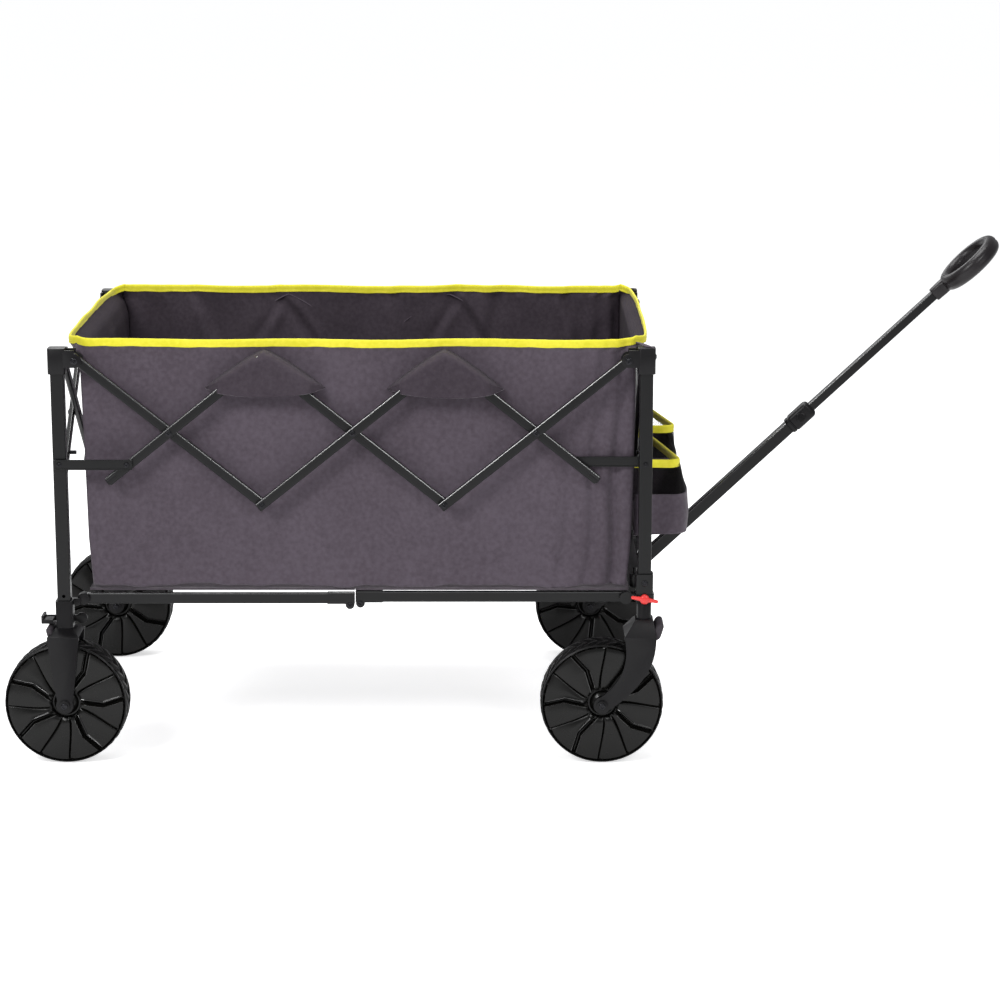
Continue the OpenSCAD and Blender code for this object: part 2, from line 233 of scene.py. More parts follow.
# Glass filled nylon of the caps and forks: almost black, with a soft sheen.
NYLON = nylon("black_moulded_nylon", "#09080a", "#100f11", 0.38)
# The same nylon dyed grey, drier to the eye.
SKIRT = nylon("grey_moulded_nylon", "#322e32", "#3d383d", 0.55)
# Blow moulded polypropylene: waxy, smoother than nylon, with a broad highlight.
WHEEL_PLASTIC = nylon("wheel_polypropylene", "#060605", "#0b0a09", 0.28, 500.0, 0.12, 0.26)
# Foamed rubber of the tread: matt and grainy.
TREAD_PLASTIC = nylon("tread_eva", "#060606", "#0c0b0b", 0.4, 700.0, 0.3)
# Injection moulded nylon of the ring grip, a little warmer and worn smooth by hands.
GRIP_PLASTIC = nylon("grip_nylon", "#151214", "#1d1a1c", 0.34, 1500.0, 0.2, 0.3)
# The raised lips of the wheel's seams are pressed hard against the mould, so they come out shiny. Their
# colour is also painted lighter than the rest of the wheel, as a painted highlight.
LIP_PLASTIC_PAINTED_HIGHLIGHT = nylon("wheel_polypropylene_glossy_painted_highlight", "#0c0b0a", "#131211", 0.26, 500.0, 0.05, 1.0)
# Acetal, dyed through: bright red and slippery smooth.
RED_PLASTIC = nylon("red_acetal", "#cc2c2a", "#dc3b38", 0.3, 900.0, 0.06, 0.5)
print("plastics", [m.name for m in (NYLON, SKIRT, WHEEL_PLASTIC, TREAD_PLASTIC, GRIP_PLASTIC, LIP_PLASTIC_PAINTED_HIGHLIGHT,
                                    RED_PLASTIC)])

# %% [markdown]
# The rivets and screws are steel with a black oxide skin. It is thin, so the metal still glints at the
# crown of each head.

# %% Blackened steel


def black_steel():
    """Black oxide on steel: dark, half metallic, quite smooth."""
    mat, tree, shader, place = start("black_oxide_steel", 0.24, metal=0.85)
    cloud = add(tree, "TexNoise", {"Vector": place.outputs["Object"]}, {"Scale": 300.0, "Detail": 2.0})
    tone = add(tree, "ValToRGB", {"Fac": cloud.outputs["Fac"]}, stops=[(0.3, "#1d1d1f"), (0.7, "#2e2e31")])
    tree.links.new(tone.outputs["Color"], shader.inputs["Base Color"])
    return mat


RIVET = black_steel()
print("steel", RIVET.name)

# %% [markdown]
# The bag is 600 denier polyester: flat threads about 0.5 mm apart in a plain weave. That is too fine to
# show at this distance, so the weave is drawn at 1.4 mm, just coarse enough to break up the surface. The UV
# map of each cloth piece is in metres, so the threads run along the cloth and not along the world.

# %% Woven cloth


def woven(name, dark, light_tone, rough, thread, sheen, depth=0.5, stain=5.0):
    """Plain weave: two crossed wave patterns, with slow changes of tone as dyed cloth has."""
    mat, tree, shader, place = start(name, rough, gloss=0.14)
    shader.inputs["Sheen Weight"].default_value = sheen
    shader.inputs["Sheen Roughness"].default_value = 0.45
    uv = place.outputs["UV"]
    warp = add(tree, "TexWave", {"Vector": uv}, {"Scale": 1 / (thread * 3.2), "Distortion": 0.6,
               "Detail": 1.0, "Detail Scale": 2.0}, wave_type="BANDS", bands_direction="X")
    weft = add(tree, "TexWave", {"Vector": uv}, {"Scale": 1 / (thread * 3.2), "Distortion": 0.6,
               "Detail": 1.0, "Detail Scale": 2.0}, wave_type="BANDS", bands_direction="Y")
    weave = add(tree, "Math", {0: warp.outputs["Fac"], 1: weft.outputs["Fac"]}, operation="MULTIPLY")
    cloud = add(tree, "TexNoise", {"Vector": place.outputs["Object"]}, {"Scale": stain, "Detail": 5.0,
                "Roughness": 0.6})
    slub = add(tree, "TexNoise", {"Vector": place.outputs["Object"]}, {"Scale": 160.0, "Detail": 3.0})
    mix = add(tree, "Math", {0: cloud.outputs["Fac"], 1: slub.outputs["Fac"]}, operation="ADD")
    half = add(tree, "Math", {0: mix.outputs["Value"]}, {1: 0.5}, operation="MULTIPLY")
    tone = add(tree, "ValToRGB", {"Fac": half.outputs["Value"]}, stops=[(0.38, dark), (0.62, light_tone)])
    tree.links.new(tone.outputs["Color"], shader.inputs["Base Color"])
    bump = add(tree, "Bump", {"Height": weave.outputs["Value"]}, {"Strength": depth, "Distance": 0.0005})
    tree.links.new(bump.outputs["Normal"], shader.inputs["Normal"])
    return mat


# The outer face of the bag: warm grey, with the faint bloom of loose fibre ends.
CLOTH = woven("grey_polyester_600d", "#443c44", "#504851", 0.72, 1.4 * MM, 0.22)
# The coated inner face: darker and duller.
INNER = woven("inside_polyester", "#352e35", "#3f383f", 0.8, 1.4 * MM, 0.05)
# The inside of the end walls: the same cloth without the bloom, its colour painted darker still as painted
# shade.
INNER_END_PAINTED_SHADE = woven("inside_end_polyester_painted_shade", "#2a242a", "#322c32", 0.9, 1.4 * MM, 0.0)
# Ribbed binding tape in lime, finer and shinier than the cloth.
BINDING = woven("lime_binding_tape", "#cfc82f", "#dbd23d", 0.62, 1.1 * MM, 0.12, 0.35, 20.0)
print("cloths", CLOTH.name, INNER.name, INNER_END_PAINTED_SHADE.name, BINDING.name)

# %% [markdown]
# New pieces are grids of points. Each shape below is worked out as whole arrays, then this one function
# turns a grid into a mesh, closes it where asked, and lays a UV map in metres over it.

# %% Grid to mesh


def new_object(name, verts, faces, mats, smooth=True, uv=None):
    """A mesh object at the origin from points, faces (lists of indices) and materials."""
    mesh = bpy.data.meshes.new(name)
    mesh.from_pydata(np.asarray(verts, float).reshape(-1, 3).tolist(), [], faces)
    mesh.validate()
    for mat in mats:
        mesh.materials.append(mat)
    if uv is not None:
        layer = mesh.uv_layers.new(name="UVMap")
        loops = np.zeros(len(mesh.loops), int)
        mesh.loops.foreach_get("vertex_index", loops)
        layer.data.foreach_set("uv", np.asarray(uv, float).reshape(-1, 2)[loops].ravel())
    mesh.polygons.foreach_set("use_smooth", [smooth] * len(mesh.polygons))
    mesh.update()
    obj = bpy.data.objects.new(name, mesh)
    bpy.context.scene.collection.objects.link(obj)
    return obj


def grid_faces(nu, nv, close_u=False, close_v=False, base=0):
    """Quads between neighbours of an nu by nv grid of points, as an array of four indices each."""
    iu = np.arange(nu if close_u else nu - 1)
    iv = np.arange(nv if close_v else nv - 1)
    a, b = np.meshgrid(iu, iv, indexing="ij")
    a2, b2 = (a + 1) % nu, (b + 1) % nv
    quads = np.stack([a * nv + b, a2 * nv + b, a2 * nv + b2, a * nv + b2], -1)
    return quads.reshape(-1, 4) + base


def loft(rings, close_path=False, cap=True, base=0):
    """Faces of a stack of closed rings, an array (rings, points, 3), with flat caps at both ends."""
    n, m = rings.shape[:2]
    faces = grid_faces(n, m, close_path, True, base).tolist()
    if cap and not close_path:
        faces += [list(range(base, base + m))[::-1], list(range(base + (n - 1) * m, base + n * m))]
    return faces


def join_parts(parts):
    """Several (verts, faces, material number or numbers) as one list of points, faces and numbers."""
    verts, faces, mats, base = [], [], [], 0
    for v, f, m in parts:
        v = np.asarray(v, float).reshape(-1, 3)
        verts.append(v)
        faces += [[i + base for i in q] for q in f]
        mats += list(m) if isinstance(m, list) else [m] * len(f)
        base += len(v)
    return np.concatenate(verts), faces, mats


def solid(name, parts, mats, angle=40):
    """One object from several parts, with its normals outwards and only its sharp edges kept sharp."""
    verts, faces, numbers = join_parts(parts)
    obj = new_object(name, verts, faces, mats)
    obj.data.polygons.foreach_set("material_index", numbers[:len(obj.data.polygons)])
    outwards(obj)
    obj.data.set_sharp_from_angle(angle=radians(angle))
    return obj


def outwards(obj):
    """Turns every face of a closed mesh to the outside."""
    bm = bmesh.new()
    bm.from_mesh(obj.data)
    bmesh.ops.recalc_face_normals(bm, faces=bm.faces)
    bm.to_mesh(obj.data)
    bm.free()


def crisp(obj):
    """Leans the normals to the large faces, so that a flat face shades flat and only its edge is round."""
    lean = obj.modifiers.new("flat faces", "WEIGHTED_NORMAL")
    lean.keep_sharp = True
    lean.weight = 80
    return obj


def finish_piece(obj, body, slot, *nodes):
    """Rides on a body and stands for CAD nodes, which it hides. slot is not used."""
    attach(obj, body)
    if nodes:
        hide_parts(*nodes)
    return obj


print("a grid of 3 by 3 points has", len(grid_faces(3, 3)), "faces")

# %% [markdown]
# The CAD nodes that already have their true shape only need their finish.

# %% Finishes of the carried nodes


def paint(names, mat):
    """Gives CAD nodes one material."""
    for name in names:
        mesh = NODES[name].data
        mesh.materials.clear()
        mesh.materials.append(mat)


paint([n for n in NODES if n.startswith(("post", "cross", "handle_lower", "handle_upper"))], POWDER)
paint([n for n in NODES if n.startswith(("cap", "rear_fork", "caster", "brake"))], NYLON)
paint(["handle_hub", "handle_button"], NYLON)
paint([n for n in NODES if n.startswith("swivel_lock")], RED_PLASTIC)
paint([n for n in NODES if n.startswith("wheel")], WHEEL_PLASTIC)
paint([n for n in NODES if n.startswith("bag")], CLOTH)
paint([n for n in NODES if "_bar_" in n or n.startswith(("link", "rail"))], POWDER)
paint(["handle_grip"], GRIP_PLASTIC)
print("painted", len(NODES))

# %% [markdown]
# Most parts of the frame are one of two shapes: a straight bar with rounded edges, or something turned
# about an axis, such as a rivet. A bar is a stack of rounded rectangles. The first and last ones are a
# little smaller, so that the cut ends don't look razor sharp.

# %% Bars and turned parts


def rounded(w, h, r, steps=4):
    """Points of a w by h rectangle with corners of radius r, as pairs (a, b), anticlockwise."""
    turn = np.linspace(0, pi / 2, steps + 1)
    out = []
    for k, (sa, sb) in enumerate(((1, 1), (-1, 1), (-1, -1), (1, -1))):
        t = turn + k * pi / 2
        out.append(np.stack([sa * (w / 2 - r) + r * np.cos(t), sb * (h / 2 - r) + r * np.sin(t)], -1))
    return np.concatenate(out)


def beam(p0, p1, side, w, h, r=1.7 * MM, cut=0.7 * MM):
    """A bar from p0 to p1. w is measured along side, h across both; its four long edges have radius r."""
    p0, p1, side = np.array(p0, float), np.array(p1, float), np.array(side, float)
    run = (p1 - p0) / np.linalg.norm(p1 - p0)
    side = side - run * (side @ run)
    side /= np.linalg.norm(side)
    across = np.cross(run, side)
    length = np.linalg.norm(p1 - p0)
    rings = []
    for s, inset in ((0, cut), (cut, 0), (length - cut, 0), (length, cut)):
        ring = rounded(w - 2 * inset, h - 2 * inset, max(r - inset, 0.3 * MM))
        rings.append(p0 + run * s + ring[:, :1] * side + ring[:, 1:] * across)
    rings = np.array(rings)
    return rings, loft(rings)


def edged(bar, edge):
    """A bar as (points, faces, material numbers), with material number edge on its upper rounded edges."""
    rings, faces = bar
    n, m = rings.shape[:2]
    per = m // 4
    upper = rings[0, :, 2] > rings[0, :, 2].mean()
    on_edge = upper & (np.arange(m) % per < per - 1)
    return rings, faces, np.tile(np.where(on_edge, edge, 0), n - 1).tolist() + [0, 0]


def turned(centre, axis, profile, steps=28):
    """A shape turned about an axis. profile is (radius, height along the axis) from one end to the other."""
    axis = np.array(axis, float) / np.linalg.norm(axis)
    helper = np.array([0, 0, 1.0]) if abs(axis[2]) < 0.9 else np.array([1.0, 0, 0])
    u = np.cross(axis, helper)
    u /= np.linalg.norm(u)
    v = np.cross(axis, u)
    t = np.linspace(0, 2 * pi, steps, endpoint=False)
    ring = np.cos(t)[:, None] * u + np.sin(t)[:, None] * v
    rings = np.array([np.array(centre) + axis * h + max(r, 0.02 * MM) * ring for r, h in profile])
    return rings, loft(rings)


def rivet(centre, axis, r=4.8 * MM, rise=1.9 * MM):
    """A rivet head on a flange, with the shallow dimple of its mandrel."""
    return turned(centre, axis, [(0, -0.5 * MM), (r, -0.5 * MM), (r, 0.5 * MM), (0.94 * r, 0.8 * MM),
                  (0.72 * r, 0.9 * MM), (0.66 * r, 0.75 * rise), (0.52 * r, rise), (0.36 * r, rise),
                  (0.24 * r, 0.6 * rise), (0, 0.5 * rise)])


print("bar and turned parts ready")

# %% [markdown]
# The four scissors share one drawing. A point on a scissor is (s, out, z): s runs along the side from the
# first post, out is away from the bag. The up bars lie in the outer layer and carry the rivets, the down
# bars lie behind them. This is how flat bars can cross without bending. A bar that ends under a hood of
# cloth stops just past its pin, so that it doesn't push the cloth out.

# %% Scissor bars
BAR_H, BAR_T, LAYER = 14 * MM, 8 * MM, 4.5 * MM
Z_TOP = pivot("fold").z
RISE = Z_TOP - pivot("near_x_1").z
SCISSORS = {
    "near": (Vector((XR, YN, 0)), Vector((1, 0, 0)), Vector((0, -1, 0)), LENGTH, 3),
    "far": (Vector((XR, YF, 0)), Vector((1, 0, 0)), Vector((0, 1, 0)), LENGTH, 3),
    "rear": (Vector((XR, YN, 0)), Vector((0, 1, 0)), Vector((-1, 0, 0)), TRACK, 2),
    "front": (Vector((XF, YN, 0)), Vector((0, 1, 0)), Vector((1, 0, 0)), TRACK, 2),
}
PIVOT_IN = 26 * MM
SHORT_END, LINK_PIN = 107 * MM, 78 * MM
UNDER_HOOD = 2 * MM


def scissor_bar(side, up, k):
    """The bar through the k-th crossing, rising (up) or falling, with its rivets."""
    origin, along, out, span, n = SCISSORS[side]
    half_x = (span - 2 * PIVOT_IN) / (2 * n)
    reach = float(np.hypot(half_x, RISE))
    sign = 1 if up else -1
    run = along * (half_x / reach) + Vector((0, 0, sign * RISE / reach))
    layer = LAYER if up else -LAYER
    middle_point = origin + along * (PIVOT_IN + (2 * k - 1) * half_x) + Vector((0, 0, Z_TOP - RISE))
    low = SHORT_END if up and k == 1 else reach
    high = SHORT_END if not up and k == n else reach
    base = middle_point + out * layer
    hooded = side in ("near", "far")
    past_low = UNDER_HOOD if hooded and not up and k > 1 else BAR_H / 2
    past_high = UNDER_HOOD if hooded and up and k < n else BAR_H / 2
    steel = beam(base - run * (low + past_low), base + run * (high + past_high), out, BAR_T, BAR_H,
                 2.4 * MM)
    parts = [edged(steel, 3)]
    if up:
        heads = [0, -LINK_PIN if k == 1 else -reach] + ([reach] if k < n and not hooded else [])
        for place in heads:
            face = middle_point + run * place
            parts.append((*rivet(face + out * (LAYER + BAR_T / 2), out), 1))
            parts.append((*turned(face - out * 9.3 * MM, out, [(0, 0), (3 * MM, 0), (3 * MM, 17 * MM),
                         (0, 17 * MM)]), 1))
    if (up and k == 1) or (not up and k == n):
        tip = base + run * (-low if up else high)
        parts.append((*turned(tip, run, [(0, -BAR_H / 2 - 1.5 * MM), (5 * MM, -BAR_H / 2 - 1.5 * MM),
                     (5 * MM, BAR_H / 2 + 1.5 * MM), (0, BAR_H / 2 + 1.5 * MM)]), 2))
    node = f"{side}_bar_{'up' if up else 'down'}_{k}"
    bar = crisp(solid("steel_" + node, parts, [POWDER, RIVET, NYLON, EDGE]))
    return finish_piece(bar, BODY_OF[node], "frame_powder", node)


bars = [scissor_bar(side, up, k + 1) for side in SCISSORS for up in (True, False)
        for k in range(SCISSORS[side][4])]
print("bars", len(bars))

# %% [markdown]
# Four level links tie the first and last crossing to the posts and keep the scissors square. The side
# rails run at floor height in two halves, with a thicker sleeve and a boss where they meet.

# %% Links and rails
LINK_Z, RAIL_Z = pivot("link_rear_near_pivot").z, pivot("rail_rear_near_pivot").z


def corner(front, far):
    """A corner's post axis at the ground, the way along the side to the middle, and the way out."""
    place = Vector((XF if front else XR, YF if far else YN, 0))
    return place, Vector((-1 if front else 1, 0, 0)), Vector((0, 1 if far else -1, 0))


def link(front, far):
    """The short level bar from a post to the nearest scissor bar."""
    place, along, out = corner(front, far)
    node = f"link_{'front' if front else 'rear'}_{'far' if far else 'near'}"
    lo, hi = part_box(node)
    z = (lo.z + hi.z) / 2
    layer = -11.7 * MM if front else 11.7 * MM
    start_point = place + out * layer + Vector((0, 0, z))
    end_point = start_point + along * (hi.x - lo.x - 8 * MM)
    parts = [edged(beam(start_point - along * 8 * MM, end_point, out, 3 * MM, 15 * MM, 1.1 * MM), 2)]
    for s in (0, (hi - lo).x - 16 * MM):
        parts.append((*rivet(start_point + along * s + out * 1.5 * MM, out, 4.2 * MM), 1))
    lip = 1.4 * MM
    for side in (-1, 1):
        a = start_point - along * 6 * MM + Vector((0, 0, side * 6.6 * MM)) + out * lip
        parts.append((*beam(a, a + along * (hi.x - lo.x - 4 * MM), out, 2.2 * MM, 1.8 * MM, 0.6 * MM), 0))
    return finish_piece(crisp(solid("steel_" + node, parts, [POWDER, RIVET, EDGE])), BODY_OF[node],
                        "frame_powder", node)


def side_rail(front, far):
    """Half of a side rail: tube, end eye, sleeve and boss."""
    place, along, out = corner(front, far)
    node = f"rail_{'front' if front else 'rear'}_{'far' if far else 'near'}"
    lo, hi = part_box(node)
    lane = abs((lo.y + hi.y) / 2 - place.y)
    axis = place + along * PIVOT_IN - out * lane + Vector((0, 0, RAIL_Z))
    length = LENGTH / 2 - PIVOT_IN - 0.4 * MM
    end_point = axis + along * length
    parts = [edged(beam(axis - along * 4 * MM, end_point, out, 8.2 * MM, 16 * MM, 1.8 * MM), 2),
             edged(beam(end_point - along * 40 * MM, end_point, out, 8.3 * MM, 18 * MM, 1.8 * MM), 2)]
    for s, r, drop in ((0, 9 * MM, 0), (length - 7 * MM, 6.5 * MM, 10 * MM)):
        at = axis + along * s - Vector((0, 0, drop))
        parts.append((*turned(at - out * 4.1 * MM, out, [(0, 0), (r - 0.8 * MM, 0), (r, 0.8 * MM),
                     (r, 7.4 * MM), (r - 0.8 * MM, 8.2 * MM), (0, 8.2 * MM)]), 0))
        parts.append((*rivet(at + out * 4.1 * MM, out, 4.4 * MM), 1))
    return finish_piece(crisp(solid("steel_" + node, parts, [POWDER, RIVET, EDGE])), BODY_OF[node],
                        "frame_powder", node)


CORNERS = [(front, far) for front in (False, True) for far in (False, True)]
links = [link(*c) for c in CORNERS]
rails = [side_rail(*c) for c in CORNERS]
print("links and rails", len(links) + len(rails))

# %% [markdown]
# A wheel is blow moulded in one piece, with a softer tread ring over it. Its face has twelve petals. Five of
# the seams are deep and kinked, with a raised lip on each side, and seven are plain curved creases. The
# columns of the grid follow the seams, so that a seam stays sharp without a very fine mesh: each column
# keeps a fixed distance in millimetres from its seam, whatever the radius. The quads on the lips, and the
# ring where the face meets the tread, take the shinier plastic, whose colour is painted lighter as a
# painted highlight.

# %% Wheels
WHEEL_R = 90 * MM
PETALS, COLUMNS = 12, 16
KINKED = (0, 60, 150, 210, 270)


def seam_angle(radius, kinked):
    """Angle that a seam has turned through at each radius: two straight runs, or one slow curve."""
    if kinked:
        knots_r, knots_a = (16 * MM, 55 * MM, 89 * MM), np.radians((17, 0, 7.5))
        x, y = knots_r * np.cos(knots_a), knots_r * np.sin(knots_a)
        t = np.linspace(0, 1, 40)
        px = np.concatenate([x[0] + (x[1] - x[0]) * t, x[1] + (x[2] - x[1]) * t])
        py = np.concatenate([y[0] + (y[1] - y[0]) * t, y[1] + (y[2] - y[1]) * t])
        return np.interp(radius, np.hypot(px, py), np.arctan2(py, px))
    s = (radius - 16 * MM) / (73 * MM)
    return np.radians(16 * (1 - s) ** 1.6 + 3 * s)


def wheel_face(phase):
    """Polar grid of one face as x, y and height in the wheel's plane, and each quad's material number."""
    radius = np.concatenate([np.array([5, 8, 11, 18, 19.5, 20, 20.5, 21.5]), np.linspace(24, 52, 9),
                             np.array([54, 55, 56]), np.linspace(59, 78, 6),
                             np.array([81, 82.5, 83.7, 84.6, 86, 87.5])]) * MM
    near_seam = np.array([0, 1.2, 2.3, 3.0, 3.6, 4.4, 5.4]) * MM
    fade = np.clip((radius - 21 * MM) / (6 * MM), 0, 1) * np.clip((85 * MM - radius) / (1.2 * MM), 0, 1)
    columns, rises = [], []
    kinds = [(30 * k) in KINKED for k in range(PETALS)]
    for k in range(PETALS):
        a0 = radians(30 * k + phase) + seam_angle(radius, kinds[k])
        a1 = radians(30 * (k + 1) + phase) + seam_angle(radius, kinds[(k + 1) % PETALS])
        gap = (a1 - a0) * radius
        narrow = np.minimum(1, gap / (13 * MM))
        left = near_seam[None] * narrow[:, None]
        right = gap[:, None] - near_seam[::-1][None] * narrow[:, None]
        inner = left[:, -1:] + (right[:, :1] - left[:, -1:]) * np.linspace(0, 1, 6)[1:-1]
        across = np.concatenate([left, inner, right[:, 1:]], 1)
        columns.append(a0[:, None] + across / radius[:, None])
        share = across / gap[:, None]
        rise = 1.5 * MM * np.sin(pi * share) + 1.6 * MM * share
        for kind, distance in ((kinds[k], across), (kinds[(k + 1) % PETALS], gap[:, None] - across)):
            if kind:
                rise = rise + 1.9 * MM * np.exp(-((distance - 3.6 * MM) / (0.9 * MM)) ** 2)
                rise = rise - 4.2 * MM / (1 + np.exp((distance - 2.7 * MM) / (0.28 * MM)))
            else:
                rise = rise - 1.9 * MM * np.exp(-(distance / (1.1 * MM)) ** 2)
        rises.append(rise * fade[:, None])
    angle = np.concatenate([c[:, :-1] for c in columns], 1)
    rise = np.concatenate([r[:, :-1] for r in rises], 1)
    profile = np.interp(radius / MM, [5, 11, 14, 20, 21.5, 24, 60, 80, 84, 86, 87.5],
                        [20.5, 20.5, 15.5, 15.5, 23, 24, 24.5, 24.0, 23.0, 21.5, 19.0]) * MM
    # Number 2 marks the glossy lip plastic, whose lighter colour is a painted highlight.
    lips = np.zeros((len(radius), angle.shape[1]), int)
    for k in np.flatnonzero(kinds):
        before = COLUMNS * ((k - 1) % PETALS)
        lips[8:, COLUMNS * k + 3:COLUMNS * k + 5] = 2
        lips[8:, before + 11:before + 13] = 2
    lips[(radius > 83 * MM) & (radius < 84.3 * MM)] = 2
    height = profile[:, None] + rise
    return radius[:, None] * np.cos(angle), radius[:, None] * np.sin(angle), height, lips[:-1]


def tread(count=34, per=12, rows=25):
    """Chevron tread: ribs that lean one way on each half, so h = rib(arc + lean * |y|), r = R - depth + h."""
    turn = np.linspace(0, 2 * pi, count * per, endpoint=False)
    y = np.linspace(-24.5, 24.5, rows) * MM
    lean = 0.95
    wave = (turn[:, None] * WHEEL_R - lean * np.abs(y)[None]) * count / (2 * pi * WHEEL_R)
    rib = 0.5 + 0.5 * np.tanh(3.2 * (np.cos(2 * pi * wave) + 0.25))
    groove = 1 - np.exp(-(y / (1.6 * MM)) ** 2)[None] * 0.8
    shoulder = 3.5 * MM * (np.abs(y) / (24.5 * MM))[None] ** 6
    radius = WHEEL_R - 3.4 * MM + 3.3 * MM * rib * groove - shoulder
    return np.stack([radius * np.cos(turn)[:, None], radius * np.sin(turn)[:, None],
                     np.broadcast_to(y, radius.shape)], -1)


def build_wheel(node, axle, phase):
    """Both faces and the tread of one wheel. The wheel's plane is upright, and the axle runs along Y."""
    fx, fy, fh, lips = wheel_face(phase)
    near_face = np.stack([fx, -fh, fy], -1)
    far_face = np.stack([-fx, fh, fy], -1)
    band = tread()
    band = np.stack([band[..., 0], band[..., 2], band[..., 1]], -1)
    rings, columns = fx.shape
    faces = grid_faces(rings, columns, False, True).tolist()
    edge_t = np.linspace(0, 2 * pi, 96, endpoint=False)
    section = ((86.8, -19.5), (88.2, -21.2), (88.2, -24.2), (86.8, -25.2), (85.6, -22.2))
    rim = np.array([[(r * MM) * np.cos(edge_t), np.full(len(edge_t), h * MM), (r * MM) * np.sin(edge_t)]
                    for r, h in section]).transpose(0, 2, 1)
    rim_far = rim * np.array([1, -1, 1])
    rim_faces = grid_faces(len(section), len(edge_t), False, True).tolist()
    t_faces = grid_faces(band.shape[0], band.shape[1], True, False).tolist()
    lips = lips.ravel().tolist()
    parts = [(near_face + axle, faces, lips), (far_face + axle, faces, lips), (band + axle, t_faces, 1),
             (rim + axle, rim_faces, 1), (rim_far + axle, rim_faces, 1),
             (*turned(axle - np.array([0, 20 * MM, 0]), (0, 1, 0), [(5.2 * MM, 0), (11 * MM, 0),
              (11 * MM, 40 * MM), (5.2 * MM, 40 * MM)]), 0)]
    obj = solid(node + "_moulded", parts, [WHEEL_PLASTIC, TREAD_PLASTIC, LIP_PLASTIC_PAINTED_HIGHLIGHT], 32)
    return finish_piece(obj, BODY_OF[node], "wheel_plastic", node)


# How far each wheel happens to be turned, in degrees.
PHASES = {"rear_near": 149, "front_near": 323.5, "rear_far": 181, "front_far": 121}
wheels = []
for name, phase in PHASES.items():
    where = pivot(f"wheel_{name}_spin")
    lo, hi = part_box("wheel_" + name)
    axle = np.array((where.x, (lo.y + hi.y) / 2, where.z))
    wheels.append(build_wheel("wheel_" + name, axle, phase))
print("wheels", len(wheels), "faces each", len(wheels[0].data.polygons))

# %% [markdown]
# The other moulded parts keep their CAD shape. A real mould can't have knife edges, so each one is copied,
# its split vertices are joined again, flat areas are merged, and its edges are rounded a little. The arms
# of the caster forks also lean back a few millimetres, as they do when the wagon stands still.

# %% Rounded copies of the moulded parts


def softened(node, width, lean=0.0):
    """A copy of a CAD node with rounded edges. lean shifts a fork's arms along X, most at the crown."""
    source = NODES[node].data
    bm = bmesh.new()
    bm.from_mesh(source)
    bmesh.ops.remove_doubles(bm, verts=bm.verts, dist=0.01 * MM)
    bmesh.ops.dissolve_limit(bm, angle_limit=radians(1.0), verts=bm.verts, edges=bm.edges)
    bmesh.ops.recalc_face_normals(bm, faces=bm.faces)
    for vert in bm.verts:
        vert.co.x += lean * float(np.interp(vert.co.z / MM, [95, 180, 192, 206], [0, 1, 1, 0]))
    mesh = bpy.data.meshes.new(node + "_soft")
    bm.to_mesh(mesh)
    bm.free()
    mesh.materials.clear()
    mesh.materials.append(NYLON)
    mesh.polygons.foreach_set("material_index", [0] * len(mesh.polygons))
    mesh.polygons.foreach_set("use_smooth", [True] * len(mesh.polygons))
    obj = bpy.data.objects.new(node + "_soft", mesh)
    bpy.context.scene.collection.objects.link(obj)
    edge = obj.modifiers.new("rounded edges", "BEVEL")
    edge.width = width
    edge.segments = 2
    edge.limit_method = "ANGLE"
    edge.angle_limit = radians(35)
    edge.harden_normals = True
    return finish_piece(obj, BODY_OF[node], "black_plastic", node)


ARM_LEAN = -6 * MM
copies = [softened(node, 0.9 * MM) for node in NODES if node.startswith("cap")]
copies += [softened(node, 0.8 * MM, ARM_LEAN if node.startswith("caster") else 0.0)
           for node in NODES if node.startswith(("rear_fork", "caster_fork"))]
copies += [softened(node, 0.6 * MM) for node in ("handle_hub", "brake_pedal_near", "brake_pedal_far")]
print("rounded copies", len(copies))

# %% [markdown]
# The bag is cut cloth, so every wall is one grid of points with a small offset at right angles to it. The
# offset is a sum of simple folds: a slow sag, a few sharp pleats where spare cloth gathers near the
# corners, and a soft ripple that stands for the pull of the seams. All are plain formulas, so that the
# cloth comes out the same each time. Each soft piece gets a mesh of its own, but nothing gathers it as
# the frame folds. The rim's corners are rounded, because tape can't turn sharply.

# %% Cloth helpers
BAG_LOW, BAG_TOP = 258 * MM, 618 * MM
WALL_IN = 17.2 * MM
CLOTH_T = 1.4 * MM
RIM_FROM, RIM_BAND = 603 * MM, 8 * MM
FLAT = {}


def ripple(a, b, size, seed, count=9):
    """Soft noise: count sine waves of about that size, in random directions and phases, scaled to 1."""
    rng = np.random.default_rng(seed)
    total = 0
    for _ in range(count):
        turn, phase, stretch = rng.uniform(0, pi), rng.uniform(0, 2 * pi), rng.uniform(0.7, 1.5)
        total = total + np.sin(2 * pi * (a * np.cos(turn) + b * np.sin(turn)) * stretch / size + phase)
    return total / np.sqrt(count)


def crease(a, b, a0, b0, degrees, width, length, lift, bend=0.0):
    """A fold from (a0, b0) along an angle: a narrow bell across it, and a wide bell along it."""
    c, s = np.cos(radians(degrees)), np.sin(radians(degrees))
    run, off = (a - a0) * c + (b - b0) * s, -(a - a0) * s + (b - b0) * c
    off = off - bend * run ** 2
    along = np.exp(-((run - length / 2) / (0.55 * length)) ** 4)
    x = off / width
    return lift * along * (np.exp(-x ** 2) - 0.55 * np.exp(-((x - 1.5) ** 2)))


def cloth_piece(name, points, uv, mats, thick, flip=False):
    """A grid of points (columns, rows, 3) as a sheet of cloth with real thickness and soft hems."""
    faces = grid_faces(points.shape[0], points.shape[1]).tolist()
    if flip:
        faces = [f[::-1] for f in faces]
    obj = new_object(name, points, faces, mats, True, uv)
    body = obj.modifiers.new("cloth thickness", "SOLIDIFY")
    body.thickness = thick
    body.offset = 0
    body.use_even_offset = False
    body.use_rim = True
    if len(mats) > 1:
        body.material_offset = 1
    return obj


